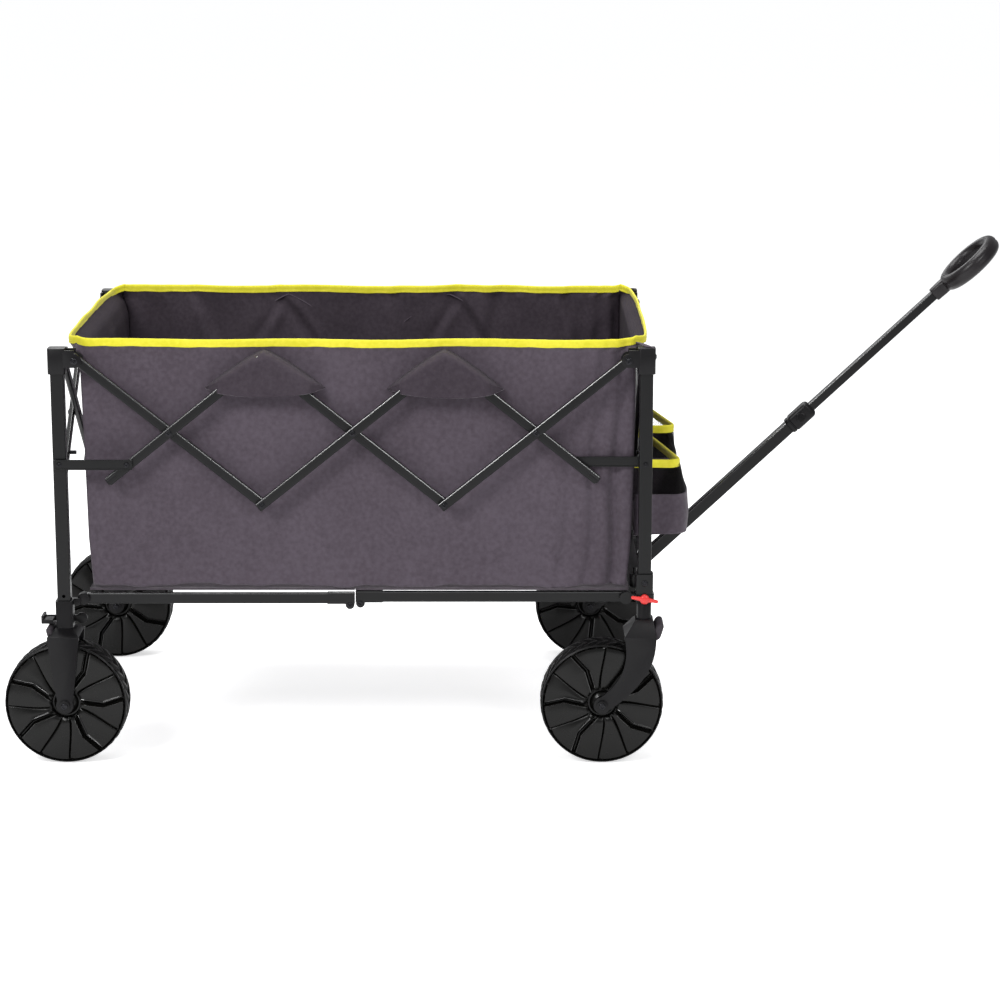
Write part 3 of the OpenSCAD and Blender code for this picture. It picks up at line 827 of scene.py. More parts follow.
def declare(obj, points):
    """Declares a sheet: its cut is as wide and long as its longest row and column, less what is cut away."""
    width = float(np.linalg.norm(np.diff(points, axis=0), axis=2).sum(0).max())
    long = float(np.linalg.norm(np.diff(points, axis=1), axis=2).sum(1).max())
    a, b = points[1:, 1:] - points[:-1, :-1], points[1:, :-1] - points[:-1, 1:]
    area = float(np.linalg.norm(np.cross(a, b), axis=2).sum() / 2)
    FLAT[obj.name] = (round(width, 3), round(long, 3), round(area, 4))


def squash_along(obj):
    """Gives a soft piece its own copy of its mesh."""
    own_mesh(obj)


KEEP_X, KEEP_Y = 0.358, 0.377
ANCHOR_X, ANCHOR_Y = (XR, 0, 0), (0, YN, 0)


def rear_edge(z):
    """How far the rear seam stands in from the post axis: the bag narrows downwards, the rim flares."""
    return np.interp(z / MM, [255, 330, 450, 575, 596, 610], [41, 36, 34, 31, 25.5, 15.5]) * MM


def front_edge(z):
    """The same for the front seam."""
    return np.interp(z / MM, [255, 330, 450, 575, 603, 611], [26, 20, 16.5, 15.8, 15.2, 4]) * MM


def round_corners(points):
    """Pulls the rim's corners in and up, by the square of the nearness to both walls."""
    x, y, z = points[..., 0], points[..., 1], points[..., 2]
    ends = np.minimum(x - XR - rear_edge(z), XF - front_edge(z) - x)
    sides = np.minimum(y - YN, YF - y) - WALL_IN
    near_end = np.clip(1 - ends / (38 * MM), 0, 1)
    near_side = np.clip(1 - sides / (38 * MM), 0, 1)
    w = (near_end * near_side) ** 2 * np.clip((z - RIM_FROM) / RIM_BAND, 0, 1)
    moved = points.copy()
    moved[..., 0] -= 11 * MM * w * np.sign(x - (XR + XF) / 2)
    moved[..., 1] -= 11 * MM * w * np.sign(y)
    moved[..., 2] += 3 * MM * w
    return moved


print("the bag is", round((BAG_TOP - BAG_LOW) / MM), "mm deep")

# %% [markdown]
# The side walls are the largest faces of the wagon. They hang inside the scissors with about 8 mm to spare.
# Spare cloth at the front gathers into upright pleats beside the post, and at the rear lower corner it
# pulls into a fan of creases. A stitched hem runs along the bottom.

# %% Side walls


def side_wall(u, z, far):
    """Outward offset of a side wall at u (0 rear to 1 front) and height z."""
    length = LENGTH - 0.05
    a, b = u * length, z - BAG_LOW
    v = b / (BAG_TOP - BAG_LOW)
    seed = 40 if far else 3
    low = np.exp(-(v / 0.5) ** 2)
    d = -3.2 * MM * np.sin(pi * u) * np.sin(pi * np.clip(v, 0, 1)) ** 0.8
    d = d + 1.8 * MM * ripple(a, b * 0.7, 0.21, seed) * (1 - 0.6 * np.abs(2 * v - 1) ** 3)
    d = d + 0.6 * MM * ripple(a, b, 0.07, seed + 1)
    for place, width, lift, lean in ((0.020, 0.0085, -12.0, 0.02), (0.047, 0.008, -6.5, 0.05),
                                     (0.076, 0.010, -4.0, 0.09)):
        where = length - place - lean * (1 - v) * 0.3 - 0.004 * np.sin(9 * v + place * 200)
        d = d + lift * MM * np.exp(-((a - where) / width) ** 2) * (0.25 + 0.75 * np.clip(1.3 - v, 0, 1))
    fan = ((0.0, 0.01, 32, 0.008, 0.12, 3.4), (0.0, 0.03, 58, 0.009, 0.15, 3.0),
           (0.01, 0.0, 78, 0.008, 0.16, 2.6), (0.03, 0.0, 14, 0.008, 0.15, 2.4))
    for a0, b0, turn, width, run, lift in fan:
        d = d + crease(a, b, a0, b0, turn, width, run, lift * MM, 1.2)
    for a0, turn, run in ((0.15, 64, 0.11), (0.37, 118, 0.1), (0.52, 71, 0.09), (0.70, 122, 0.12)):
        d = d + crease(a, b, a0, 0.0, turn, 0.012, run, 1.3 * MM, -0.8)
    if not far:
        for a0, b0, turn, width, run, lift in (
                (0.10, 0.09, 20, 0.02, 0.16, 3.0), (0.55, 0.10, 152, 0.02, 0.15, 3.0),
                (0.62, 0.05, 118, 0.014, 0.14, 2.6), (0.06, 0.2, 96, 0.012, 0.1, 2.2)):
            d = d + crease(a, b, a0, b0, turn, width, run, lift * MM, 0.8)
    if far:
        d = d + 3.2 * MM * np.sin(2 * pi * (a + 0.3 * b) / 0.118 + 2.1 * np.sin(a * 11)) * (0.35 + 0.65 * v)
        for a0, turn in ((0.1, 285), (0.24, 262), (0.42, 276), (0.58, 258), (0.69, 281)):
            d = d - crease(a, b, a0, 0.36, turn, 0.012, 0.2, 4.6 * MM, 0.6)
        for a0, turn in ((0.25, 236), (0.25, 304), (0.53, 238), (0.53, 301)):
            d = d + crease(a, b, a0, 0.345, turn, 0.008, 0.09, 4.2 * MM)
    puckers = 0.5 * MM * np.sin(2 * pi * a / 0.021 + 3 * np.sin(a * 17))
    puckers = puckers * np.exp(-((v - 0.955) / 0.03) ** 2)
    hem = 1.3 * MM * np.exp(-((b - 0.017) / 0.0018) ** 2)
    return d + puckers - hem + 1.2 * MM * low * np.sin(2 * pi * a / 0.19 + 1.0)


def hem_drop(a, seed):
    """The lower edge isn't quite straight: it sags between the places where the floor is tied."""
    return 2.2 * MM * ripple(a, 0 * a, 0.16, seed, 5) + 1.2 * MM * ripple(a, 0 * a, 0.05, seed + 1, 5)


def side_points(far, nu=221, nv=97):
    """Points and UV of a side wall."""
    u, v = np.meshgrid(np.linspace(0, 1, nu), np.linspace(0, 1, nv), indexing="ij")
    z = BAG_LOW + (BAG_TOP - BAG_LOW) * v
    x = XR + rear_edge(z) + u * (LENGTH - rear_edge(z) - front_edge(z))
    z = z + hem_drop(u * 0.8, 11 if far else 7) * (1 - v) ** 3
    d = side_wall(u, np.minimum(z, BAG_TOP - 14 * MM), far)
    d = d * np.clip(np.minimum(u, 1 - u) / 0.02, 0, 1) ** 0.7
    y = (YF - WALL_IN + d) if far else (YN + WALL_IN - d)
    return round_corners(np.stack([x, y, z], -1)), np.stack([u * 0.8, v * 0.36], -1)


near_points, near_uv = side_points(False)
far_points, far_uv = side_points(True)
near_wall = cloth_piece("bag_near_wall", near_points, near_uv, [CLOTH, INNER], CLOTH_T)
far_wall = cloth_piece("bag_far_wall", far_points, far_uv, [CLOTH, INNER], CLOTH_T, True)
finish_piece(near_wall, "rear_near_corner", "bag_fabric", "bag_near_and_rear")
finish_piece(far_wall, "rear_far_corner", "bag_fabric", "bag_far_side")
for obj in (near_wall, far_wall):
    squash_along(obj)
print("side walls", near_points.shape)

# %% [markdown]
# The end walls close the bag. They share the corner line of the side walls, so that no gap shows. The top
# band bows outwards over the bars, as a full bag's rim does. Two pockets are sewn on the front one.

# %% End walls
FRONT_LOW = 283 * MM


def end_points(front, nu=131, nv=81):
    """Points of an end wall from the near corner to the far one."""
    u, v = np.meshgrid(np.linspace(0, 1, nu), np.linspace(0, 1, nv), indexing="ij")
    low = FRONT_LOW if front else BAG_LOW
    z = low + (BAG_TOP - low) * v
    y = YN + WALL_IN + u * (TRACK - 2 * WALL_IN)
    a, b = u * 0.545, z - BAG_LOW
    slack = np.clip(np.minimum(u, 1 - u) / 0.03, 0, 1) ** 0.7
    d = -3.5 * MM * np.sin(pi * u) * np.sin(pi * v) ** 0.7 + 1.1 * MM * ripple(a, b, 0.19, 21 + front)
    d = d + 1.6 * MM * np.sin(2 * pi * (a + 0.1 * b) / 0.13) * v
    for a0, turn in ((0.03, 80), (0.07, 70), (0.47, 110), (0.51, 100)):
        d = d + crease(a, b, a0, 0.02, turn, 0.010, 0.24, 2.4 * MM, 0.6)
    bow = 9 * MM * (1 - np.abs(2 * u - 1) ** 4) * np.clip((z - RIM_FROM) / RIM_BAND, 0, 1)
    d = d * slack * np.clip((604 * MM - z) / (60 * MM), 0, 1) + bow
    x = XF - front_edge(z) + d if front else XR + rear_edge(z) - d
    return round_corners(np.stack([x, y, z], -1)), np.stack([u * 0.545, v * (BAG_TOP - low)], -1)


front_points, front_uv = end_points(True)
rear_points, rear_uv = end_points(False)
# The inner faces of the end walls take the darker cloth, which is painted shade.
rear_wall = cloth_piece("bag_rear_wall", rear_points, rear_uv, [CLOTH, INNER_END_PAINTED_SHADE], CLOTH_T, True)
front_wall = cloth_piece("bag_front_wall", front_points, front_uv, [CLOTH, INNER_END_PAINTED_SHADE], CLOTH_T)
finish_piece(rear_wall, "rear_near_corner", "bag_fabric", "bag_near_and_rear")
finish_piece(front_wall, "front_near_corner", "bag_fabric", "bag_front_end")
for obj in (rear_wall, front_wall):
    squash_along(obj)
print("end walls", front_points.shape)

# %% [markdown]
# The floor is a padded mat in two halves, covered in the same cloth. It drops slightly between the rails.

# %% Floor of the bag
# The mat's cover is the wall's cloth in a slightly lighter, flatter finish, rubbed by what lies on it.
FLOOR_CLOTH = woven("floor_polyester", "#403a40", "#4b454b", 0.8, 1.4 * MM, 0.15)


def floor_half(front, nu=61, nv=61):
    """One half of the floor mat, a closed grid: a top that sags a little, and a flat underside."""
    node = "bag_floor_front" if front else "bag_floor_rear"
    lo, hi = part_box(node)
    u, v = np.meshgrid(np.linspace(0, 1, nu), np.linspace(0, 1, nv), indexing="ij")
    x, y = lo.x + u * (hi.x - lo.x), lo.y + v * (hi.y - lo.y)
    edge = np.clip(np.minimum(np.minimum(u, 1 - u), np.minimum(v, 1 - v)) / 0.03, 0, 1) ** 0.5
    top = hi.z - 1.2 * MM + 1.2 * MM * edge + 0.4 * MM * ripple(x, y, 0.12, 5) * edge
    top_points = np.stack([x, y, top], -1)
    under = np.stack([x, y, np.full_like(x, lo.z + 0.2 * MM)], -1)
    ring = np.concatenate([np.arange(nu) * nv, (nu - 1) * nv + np.arange(1, nv),
                           np.arange(nu - 2, -1, -1) * nv + nv - 1, np.arange(nv - 2, 0, -1)])
    n = nu * nv
    faces = grid_faces(nu, nv).tolist() + [f[::-1] for f in grid_faces(nu, nv, base=n).tolist()]
    faces += [[ring[i], ring[i - 1], ring[i - 1] + n, ring[i] + n] for i in range(len(ring))]
    uv = np.concatenate([np.stack([x, y], -1).reshape(-1, 2)] * 2)
    both = np.concatenate([top_points.reshape(-1, 3), under.reshape(-1, 3)])
    obj = new_object("mat_" + node, both, [[int(i) for i in f] for f in faces], [FLOOR_CLOTH], True, uv)
    outwards(obj)
    obj.data.set_sharp_from_angle(angle=radians(50))
    finish_piece(obj, BODY_OF[node], "bag_fabric", node)
    squash_along(obj)
    return obj


floor_mats = [floor_half(front) for front in (False, True)]
print("floor mats", len(floor_mats))

# %% [markdown]
# A lime tape is folded over the raw top edge and stitched through. It is the brightest line of the wagon.
# Its section is an upturned U around the wall, and it follows the top row of the wall's own points, so it
# can't part from the cloth.

# %% Rim tape


def tape(name, path, inward, height=11.4 * MM, thick=3.4 * MM, wave_seed=1):
    """A folded tape along path (n, 3), where inward is the way to the inside of the bag.

    Each point of its section is (a, b): path + side * a + up * b, and the two raw edges waver a little.
    """
    path = np.asarray(path, float)
    run = np.gradient(path, axis=0)
    run /= np.linalg.norm(run, axis=1)[:, None]
    side = np.cross(run, [0, 0, 1.0])
    side *= np.sign((side @ np.asarray(inward, float)).sum())
    side /= np.linalg.norm(side, axis=1)[:, None]
    s = np.concatenate([[0], np.cumsum(np.linalg.norm(np.diff(path, axis=0), axis=1))])
    edge = 0.35 * MM * ripple(s, 0 * s, 0.05, wave_seed, 6)
    half = thick / 2
    one_side = [(half * 0.72, -0.7 * MM), (half + 0.1 * MM, -2.4 * MM), (half + 0.35 * MM, -height * 0.5),
                (half - 0.15 * MM, -height + 2.4 * MM), (half + 0.25 * MM, -height + 1.6 * MM),
                (half, -height)]
    section = [(-a, b) for a, b in one_side[::-1]] + [(0, 0)] + one_side
    rings = np.array([path + side * a + np.array([0, 0, 1.0]) * (b + (edge[:, None] if b < -9 * MM else 0))
                      for a, b in section]).transpose(1, 0, 2)
    faces = loft(rings)
    arc = np.linspace(0, 2 * height, len(section))
    uv = np.stack([np.broadcast_to(s[:, None], rings.shape[:2]), np.broadcast_to(arc, rings.shape[:2])], -1)
    obj = new_object(name, rings, faces, [BINDING], True, uv)
    outwards(obj)
    obj.data.set_sharp_from_angle(angle=radians(60))
    return obj


def rim_path(points, rise):
    """The top row of a wall, lifted to the rim and with its small dips."""
    path = points[::2, -1].copy()
    path[:, 2] += rise
    s = np.linspace(0, 1, len(path))
    path[:, 2] += 1.1 * MM * ripple(s * 0.8, 0 * s, 0.33, int(abs(path[0, 1]) * 1000) % 17, 5)
    return path


tapes = []
for name, wall, points, inward, body, axis, keep, anchor in (
        ("near", near_wall, near_points, (0, 1, 0), "rear_near_corner", (1, 0, 0), KEEP_X, ANCHOR_X),
        ("far", far_wall, far_points, (0, -1, 0), "rear_far_corner", (1, 0, 0), KEEP_X, ANCHOR_X),
        ("rear", rear_wall, rear_points, (1, 0, 0), "rear_near_corner", (0, 1, 0), KEEP_Y, ANCHOR_Y),
        ("front", front_wall, front_points, (-1, 0, 0), "front_near_corner", (0, 1, 0), KEEP_Y, ANCHOR_Y)):
    strip = tape(f"rim_tape_{name}", rim_path(points, 3.0 * MM), inward, wave_seed=len(name))
    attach(strip, body)
    squash_along(strip)
    tapes.append(strip)
    declare(wall, points)
print("tapes", len(tapes))

# %% [markdown]
# Where two bars meet at the top of a scissor, a hood of cloth covers the joint and keeps fingers and cloth
# out of it. It is sewn to the wall along its two upper edges and hangs open below. A flat band with one
# row of stitches runs inside the sewn edges.

# %% Hoods over the scissor tips


def hood(name, centre_x, far, half_w=86 * MM, top=606.5 * MM, low=551 * MM, seed=1, skew=0.0):
    """A three cornered hood. across runs -1 to 1, down 0 (sewn edge) to 1 (open edge)."""
    across, down = np.meshgrid(np.linspace(-1, 1, 97), np.linspace(0, 1, 41), indexing="ij")
    sewn = low + (top - low) * (1 - np.abs(across) ** 1.22)
    sag = low - 8.5 * MM * (1 - across ** 2) - 3 * MM * skew * across * (1 - across ** 2)
    z = sewn + (sag - sewn) * down
    x = centre_x + half_w * across + skew * 2 * MM * down
    tall = np.clip((sewn - sag) / (20 * MM), 0, 1)
    lift = (1 - np.abs(across) ** 9) ** 0.5 * (1 - (1 - down) ** 15) ** 0.5 * (0.35 + 0.65 * tall)
    o = 2 * MM - WALL_IN + 29.5 * MM * lift
    o = o + 1.3 * MM * ripple(x, z * 1.3, 0.075, seed) * np.clip(down * 3, 0, 1) * (1 - across ** 8)
    o = o + crease(x - centre_x, z, 0, top, -118, 0.006, 0.05, 2.0 * MM) * down
    o = o + crease(x - centre_x, z, 0.01, top - 0.012, -40, 0.007, 0.06, 1.6 * MM) * down
    seam = (1 - np.abs(across)) * 0.8 + down * 0.55
    o = o - 1.5 * MM * (0.5 + 0.5 * np.tanh((seam - 0.13) / 0.018))
    o = o - 1.1 * MM * np.exp(-((seam - 0.065) / 0.014) ** 2)
    edge = np.exp(-((1 - down) / 0.03) ** 2)
    o = o + 0.8 * MM * edge
    y = YF + o if far else YN - o
    points = np.stack([x, y, z], -1)
    obj = cloth_piece(name, points, np.stack([x - centre_x, z], -1), [CLOTH, INNER], 1.5 * MM, far)
    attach(obj, "rear_far_corner" if far else "rear_near_corner")
    squash_along(obj)
    declare(obj, points)
    return obj


TIP_1, TIP_2 = pivot("near_low_1").x, pivot("near_top_2").x
hoods = [hood("hood_near_1", TIP_1 + 6 * MM, False, seed=5),
         hood("hood_near_2", TIP_2 + 1 * MM, False, 83 * MM, 606.5 * MM, 549 * MM, 8, 0.8),
         hood("hood_far_1", TIP_1 + 2 * MM, True, seed=12),
         hood("hood_far_2", TIP_2 - 3 * MM, True, seed=15)]
print("hoods", len(hoods))

# %% [markdown]
# Two pockets are sewn to the front wall. Each has a cloth base and an open net above it, gathered at the
# top by the same lime tape. The net is a flat grid of thin threads that cross on the slant: it is real
# geometry, made with a Wireframe modifier, because a flat picture of a net would not let light through.
# The mouth is pulled in towards the far side of each pocket, so its tape runs on a slant.

# %% Shape of a pocket
SEWN_X = XF - 14 * MM


def pocket_path(y0, y1, reach, n=61, corner_r=26 * MM, far_share=1.0):
    """Plan of a pocket's wall from the bag at y0, round the front, and back to the bag at y1.

    far_share is its reach at y1 as a share of its reach at y0.
    """
    x1, r = XF + reach, corner_r
    turn = np.linspace(0, pi / 2, 13)
    first = np.stack([x1 - r + r * np.sin(turn), y0 + r - r * np.cos(turn)], -1)
    second = np.stack([x1 - r + r * np.cos(turn), y1 - r + r * np.sin(turn)], -1)
    pts = np.concatenate([[(SEWN_X, y0)], first, second, [(SEWN_X, y1)]])
    share = (pts[:, 1] - y0) / (y1 - y0)
    pts[:, 0] = SEWN_X + (pts[:, 0] - SEWN_X) * (1 - (1 - far_share) * share)
    s = np.concatenate([[0], np.cumsum(np.linalg.norm(np.diff(pts, axis=0), axis=1))])
    even = np.linspace(0, s[-1], n)
    return np.stack([np.interp(even, s, pts[:, 0]), np.interp(even, s, pts[:, 1])], -1), s[-1]


def pocket_wall(y0, y1, z0, z1, nv, mouth, n=61):
    """The wall of a pocket: it narrows to its mouth, and bellies between its seams."""
    low, length = pocket_path(y0, y1, 63 * MM, n)
    high, _ = pocket_path(y0 + 3 * MM, y1 - 3 * MM, mouth, n, 20 * MM, 0.35)
    u, v = np.meshgrid(np.linspace(0, 1, n), np.linspace(0, 1, nv), indexing="ij")
    z = z0 + (z1 - z0) * v
    t = np.clip((z - 380 * MM) / (60 * MM), 0, 1) ** 1.4
    plan = low[:, None] * (1 - t[..., None]) + high[:, None] * t[..., None]
    normal = np.stack([np.gradient(low[:, 1]), -np.gradient(low[:, 0])], -1)
    normal /= np.linalg.norm(normal, axis=1)[:, None]
    belly = (3.5 * MM * np.sin(pi * np.clip((z - 305 * MM) / (110 * MM), 0, 1)) * np.sin(pi * u)
             + 1.2 * MM * ripple(u * length, z, 0.06, 31) * np.sin(pi * u) ** 0.5 * (1 - t ** 2))
    plan = plan + normal[:, None] * belly[..., None]
    return np.concatenate([plan, z[..., None]], -1), u * length, v * (z1 - z0)


print("front seam of the pockets at x", round(SEWN_X, 3))

# %% [markdown]
# The net's quads stand on their corners, so its threads cross on the slant. The grid's own points and the
# middle of each of its cells are the knots. The pocket's bottom is a sheet from the seam to its front wall.

# %% Pockets
# Knotted nylon thread: black with a slight shine.
NET = nylon("black_net_thread", "#1c1b1d", "#262527", 0.5)
NET_ROWS, NET_COLUMNS = 10, 66


def pocket_net(side, points):
    """Slanted quads between the points of a grid and the middles of its cells, made into threads."""
    cols, rows = points.shape[:2]
    grid = np.arange(cols * rows).reshape(cols, rows)
    middles = (points[:-1, :-1] + points[1:, :-1] + points[:-1, 1:] + points[1:, 1:]) / 4
    verts = np.concatenate([points.reshape(-1, 3), middles.reshape(-1, 3)])
    mid = np.arange((cols - 1) * (rows - 1)).reshape(cols - 1, rows - 1) + cols * rows
    upright = np.stack([grid[1:-1, :-1], mid[1:], grid[1:-1, 1:], mid[:-1]], -1)
    level = np.stack([grid[:-1, 1:-1], mid[:, :-1], grid[1:, 1:-1], mid[:, 1:]], -1)
    faces = upright.reshape(-1, 4).tolist() + level.reshape(-1, 4).tolist()
    net = new_object(f"pocket_{side}_net", verts, faces, [NET], False)
    thread = net.modifiers.new("threads", "WIREFRAME")
    thread.thickness = 0.62 * MM
    thread.use_even_offset = False
    thread.use_boundary = True
    return net


def pocket_bottom(side, plan, y0, y1, floor_z):
    """A sheet from the seam to the lower edge of the wall, that sags like a sine between them."""
    steps = np.linspace(0, 1, 9)
    seam = np.stack([np.full(len(plan), SEWN_X), np.linspace(y0, y1, len(plan))], -1)
    sheet = seam[:, None] * (1 - steps)[None, :, None] + plan[:, None] * steps[None, :, None]
    z = np.full(sheet.shape[:2], floor_z) - 2.5 * MM * np.sin(pi * steps)[None]
    return cloth_piece(f"pocket_{side}_bottom", np.concatenate([sheet, z[..., None]], -1), sheet,
                       [CLOTH, INNER], CLOTH_T)


def pocket(side, y0, y1, mouth, top=440 * MM, waist=389 * MM, floor_z=330 * MM):
    """Cloth base, net, tape and bottom of one pocket."""
    points, a, b = pocket_wall(y0, y1, floor_z, waist, 25, mouth)
    base = cloth_piece(f"pocket_{side}_base", points, np.stack([a, b], -1), [CLOTH, INNER], CLOTH_T)
    under = pocket_bottom(side, points[:, 0, :2], y0, y1, floor_z)
    net = pocket_net(side, pocket_wall(y0, y1, waist - MM, top - 6 * MM, NET_ROWS, mouth, NET_COLUMNS)[0])
    strip = tape(f"pocket_{side}_tape", pocket_wall(y0, y1, top, top + MM, 2, mouth)[0][:, 0],
                 (-1, 0, 0), 12 * MM, 3.2 * MM, 5)
    pieces = [base, under, net, strip]
    for obj in pieces:
        finish_piece(obj, "front_near_corner", "bag_fabric", "bag_front_end")
        squash_along(obj)
    declare(base, points)
    return pieces


near_pocket = pocket("near", YN + 40 * MM, YN + 276 * MM, 55 * MM)
far_pocket = pocket("far", YN + 303 * MM, YN + 539 * MM, 62 * MM)
print("pocket pieces", len(near_pocket) + len(far_pocket))

# %% [markdown]
# At the front the rim is held to the frame by short tabs of cloth that are hooked over the corner caps.

# %% Corner tabs


def corner_tab(far):
    """A soft tab from the front corner of the rim down over the cap."""
    place, along, out = corner(True, far)
    body = "front_" + ("far" if far else "near") + "_corner"
    start_point = place + along * 13 * MM - out * 27 * MM + Vector((0, 0, 615 * MM))
    end_point = place - along * 5 * MM + out * 2 * MM + Vector((0, 0, 612.4 * MM))
    u, v = np.meshgrid(np.linspace(0, 1, 17), np.linspace(-1, 1, 9), indexing="ij")
    line = np.array(start_point) + np.array(end_point - start_point) * u[..., None]
    line[..., 2] += 1.2 * MM * np.sin(pi * u) - 0.8 * MM * v ** 2
    side = np.array([0.72, 0.69 if far else -0.69, 0.0]) * (7 + 2 * u)[..., None] * MM * v[..., None]
    points = line + side
    obj = cloth_piece(f"corner_tab_{body}", points, np.stack([u * 0.03, v * 0.01], -1), [CLOTH, INNER],
                      1.6 * MM)
    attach(obj, body)
    declare(obj, points)
    return obj


tabs = [corner_tab(far) for far in (False, True)]
print("tabs", len(tabs))

# %% [markdown]
# Small parts that the CAD model leaves plain: the grey skirts in front of each crown, the screws of the
# sleeves and axles, and the wing shape of the red swivel locks.

# %% Skirts and screws


def screw(centre, axis, r=4.4 * MM):
    """A pan head screw with a round recess."""
    return turned(centre, axis, [(0, -1 * MM), (r, -1 * MM), (r, 0.8 * MM), (0.86 * r, 1.7 * MM),
                  (0.6 * r, 2.1 * MM), (0.46 * r, 2.1 * MM), (0.42 * r, 0.9 * MM), (0, 0.9 * MM)])


def skirt(front, far):
    """A rounded slab across the crown. Its section is a capsule that leans with the crown."""
    place = corner(front, far)[0]
    body = ("caster_" + ("far" if far else "near")) if front else (
        "rear_far_corner" if far else "rear_near_corner")
    away = 1 if front else -1
    x, z = (20, 198) if front else (20.5, 197)
    mid = np.array(place) + np.array([away * x * MM, 0, z * MM])
    tall, thick, lean = (24 * MM, 12 * MM, 0.32 * away) if front else (14 * MM, 9 * MM, 0.2 * away)
    t = np.linspace(0, 2 * pi, 28, endpoint=False)
    cx = thick / 2 * np.cos(t)
    cz = (tall - thick) / 2 * np.sign(np.sin(t)) + thick / 2 * np.sin(t)
    rings = []
    for s, grow in ((-27, 0.35), (-26, 0.75), (-24, 0.95), (-21, 1), (21, 1), (24, 0.95), (26, 0.75),
                    (27, 0.35)):
        x = mid[0] + cx * grow + lean * cz * grow
        rings.append(np.stack([x, np.full_like(t, mid[1] + s * MM), mid[2] + cz * (0.8 + 0.2 * grow)], -1))
    rings = np.array(rings)
    obj = solid(f"skirt_{'front' if front else 'rear'}_{'far' if far else 'near'}", [(rings, loft(rings), 0)],
                [SKIRT], 50)
    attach(obj, body)
    return obj


def screws(front, far):
    """Axle screws on both faces of the fork, and the screw in the sleeve or the cap pivots."""
    place, _, out = corner(front, far)
    name = ("front_" if front else "rear_") + ("far" if far else "near")
    hub = pivot(f"wheel_{name}_spin")
    lo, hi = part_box("wheel_" + name)
    axle_y = (lo.y + hi.y) / 2
    fork_body = ("caster_" + name.split("_")[1]) if front else name + "_corner"
    parts = [(*screw(Vector((hub.x, axle_y + s * 38.5 * MM, hub.z)), (0, s, 0), 5 * MM), 0)
             for s in (-1, 1)]
    axle = solid("axle_screws_" + name, parts, [RIVET])
    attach(axle, fork_body)
    inward_side = -1 if front else 1
    cap_pin = place + Vector((inward_side * PIVOT_IN, 0, Z_TOP)) + out * 13.8 * MM
    end_pin = place + Vector((-inward_side * 13.8 * MM, 0, Z_TOP)) - out * PIVOT_IN
    parts = [(*rivet(cap_pin, out, 5 * MM), 0), (*rivet(end_pin, (-inward_side, 0, 0), 5 * MM), 0),
             (*rivet(place + Vector((0, 0, LINK_Z)) + out * 9.9 * MM, out, 3.6 * MM), 0)]
    if front:
        parts.append((*screw(place + Vector((0, 0, 268 * MM)) + out * 12.6 * MM, out, 4.6 * MM), 0))
    heads = solid("corner_rivets_" + name, parts, [RIVET])
    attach(heads, name + "_corner")
    return [axle, heads]


skirts = [skirt(*c) for c in CORNERS]
heads = [screws(*c) for c in CORNERS]
print("skirts", len(skirts), "corners with screws", len(heads))

# %% [markdown]
# The swivel lock is a red wing lever: a round boss with a flat wing on each side that narrows to its tip.

# %% Swivel locks


def wing_lever(far):
    """Boss and two wings, in the plane of the lever."""
    node = "swivel_lock_" + ("far" if far else "near")
    where = pivot(node + "_turn")
    lo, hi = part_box(node)
    out = Vector((0, 1 if far else -1, 0))
    face = Vector((where.x, hi.y if far else lo.y, where.z)) - out * 5.6 * MM
    boss = turned(face, out, [(0, -6 * MM), (6.9 * MM, -6 * MM), (6.9 * MM, 3.4 * MM), (6.2 * MM, 4.6 * MM),
                  (4.6 * MM, 5.4 * MM), (0, 5.6 * MM)])
    cover = turned(face + out * 5.2 * MM, out, [(0, 0), (2.6 * MM, 0), (2.2 * MM, 0.9 * MM), (0, MM)])
    parts = [(*boss, 0), (*cover, 0)]
    tilt = radians(10)
    for s in (-1, 1):
        rings = []
        for r, w in ((3, 6.4), (8, 6.2), (12, 5.2), (16, 5.0), (18.4, 4.6), (19.4, 3.2), (19.8, 1.6)):
            shape = rounded(w * MM, 4.2 * MM, min(1.4, w * 0.42) * MM, 3)
            x = s * r * MM
            px = where.x + x * np.cos(tilt) + shape[:, 0] * np.sin(tilt)
            pz = where.z - x * np.sin(tilt) + shape[:, 0] * np.cos(tilt)
            py = face.y + out.y * 2.1 * MM + shape[:, 1]
            rings.append(np.stack([px, py, pz], -1))
        parts.append((rings, loft(np.array(rings)), 0))
    obj = solid("lever_" + node, parts, [RED_PLASTIC], 45)
    return finish_piece(obj, BODY_OF[node], "red_plastic", node)


levers = [wing_lever(far) for far in (False, True)]
print("levers", len(levers))

# %% [markdown]
# The handle is two square tubes that slide in each other. The collar between them is moulded, with a
# ribbed oval button, and the ring grip is two shells joined along its middle plane. Everything is drawn
# along the handle's own axis and then turned up by the handle's angle.

# %% Handle
HUB = pivot("handle_pitch")
SLOPE = float(np.arctan2(JOINTS["handle_telescope"]["axis"][2], JOINTS["handle_telescope"]["axis"][0]))
AWAY = np.array([np.cos(SLOPE), 0, np.sin(SLOPE)])
UP = np.array([-np.sin(SLOPE), 0, np.cos(SLOPE)])
ACROSS = np.array([0.0, 1.0, 0.0])


def on_handle(points):
    """(along, across, up) on the handle to the frame."""
    p = np.asarray(points, float)
    return np.array(HUB) + p[..., :1] * AWAY + p[..., 1:2] * ACROSS + p[..., 2:3] * UP


def sleeve(stations):
    """A lofted moulding along the handle from (along, width, height, corner radius) in mm."""
    rings = []
    for s, w, h, r in stations:
        ring = rounded(w * MM, h * MM, r * MM, 6)
        rings.append(np.concatenate([np.full((len(ring), 1), s * MM), ring], 1))
    rings = on_handle(np.array(rings))
    return rings, loft(rings)


def tube_along(s0, s1, w, r):
    """A square tube along the handle."""
    return sleeve([(s0, w - 1, w - 1, r), (s0 + 0.6, w, w, r), (s1 - 0.6, w, w, r), (s1, w - 1, w - 1, r)])


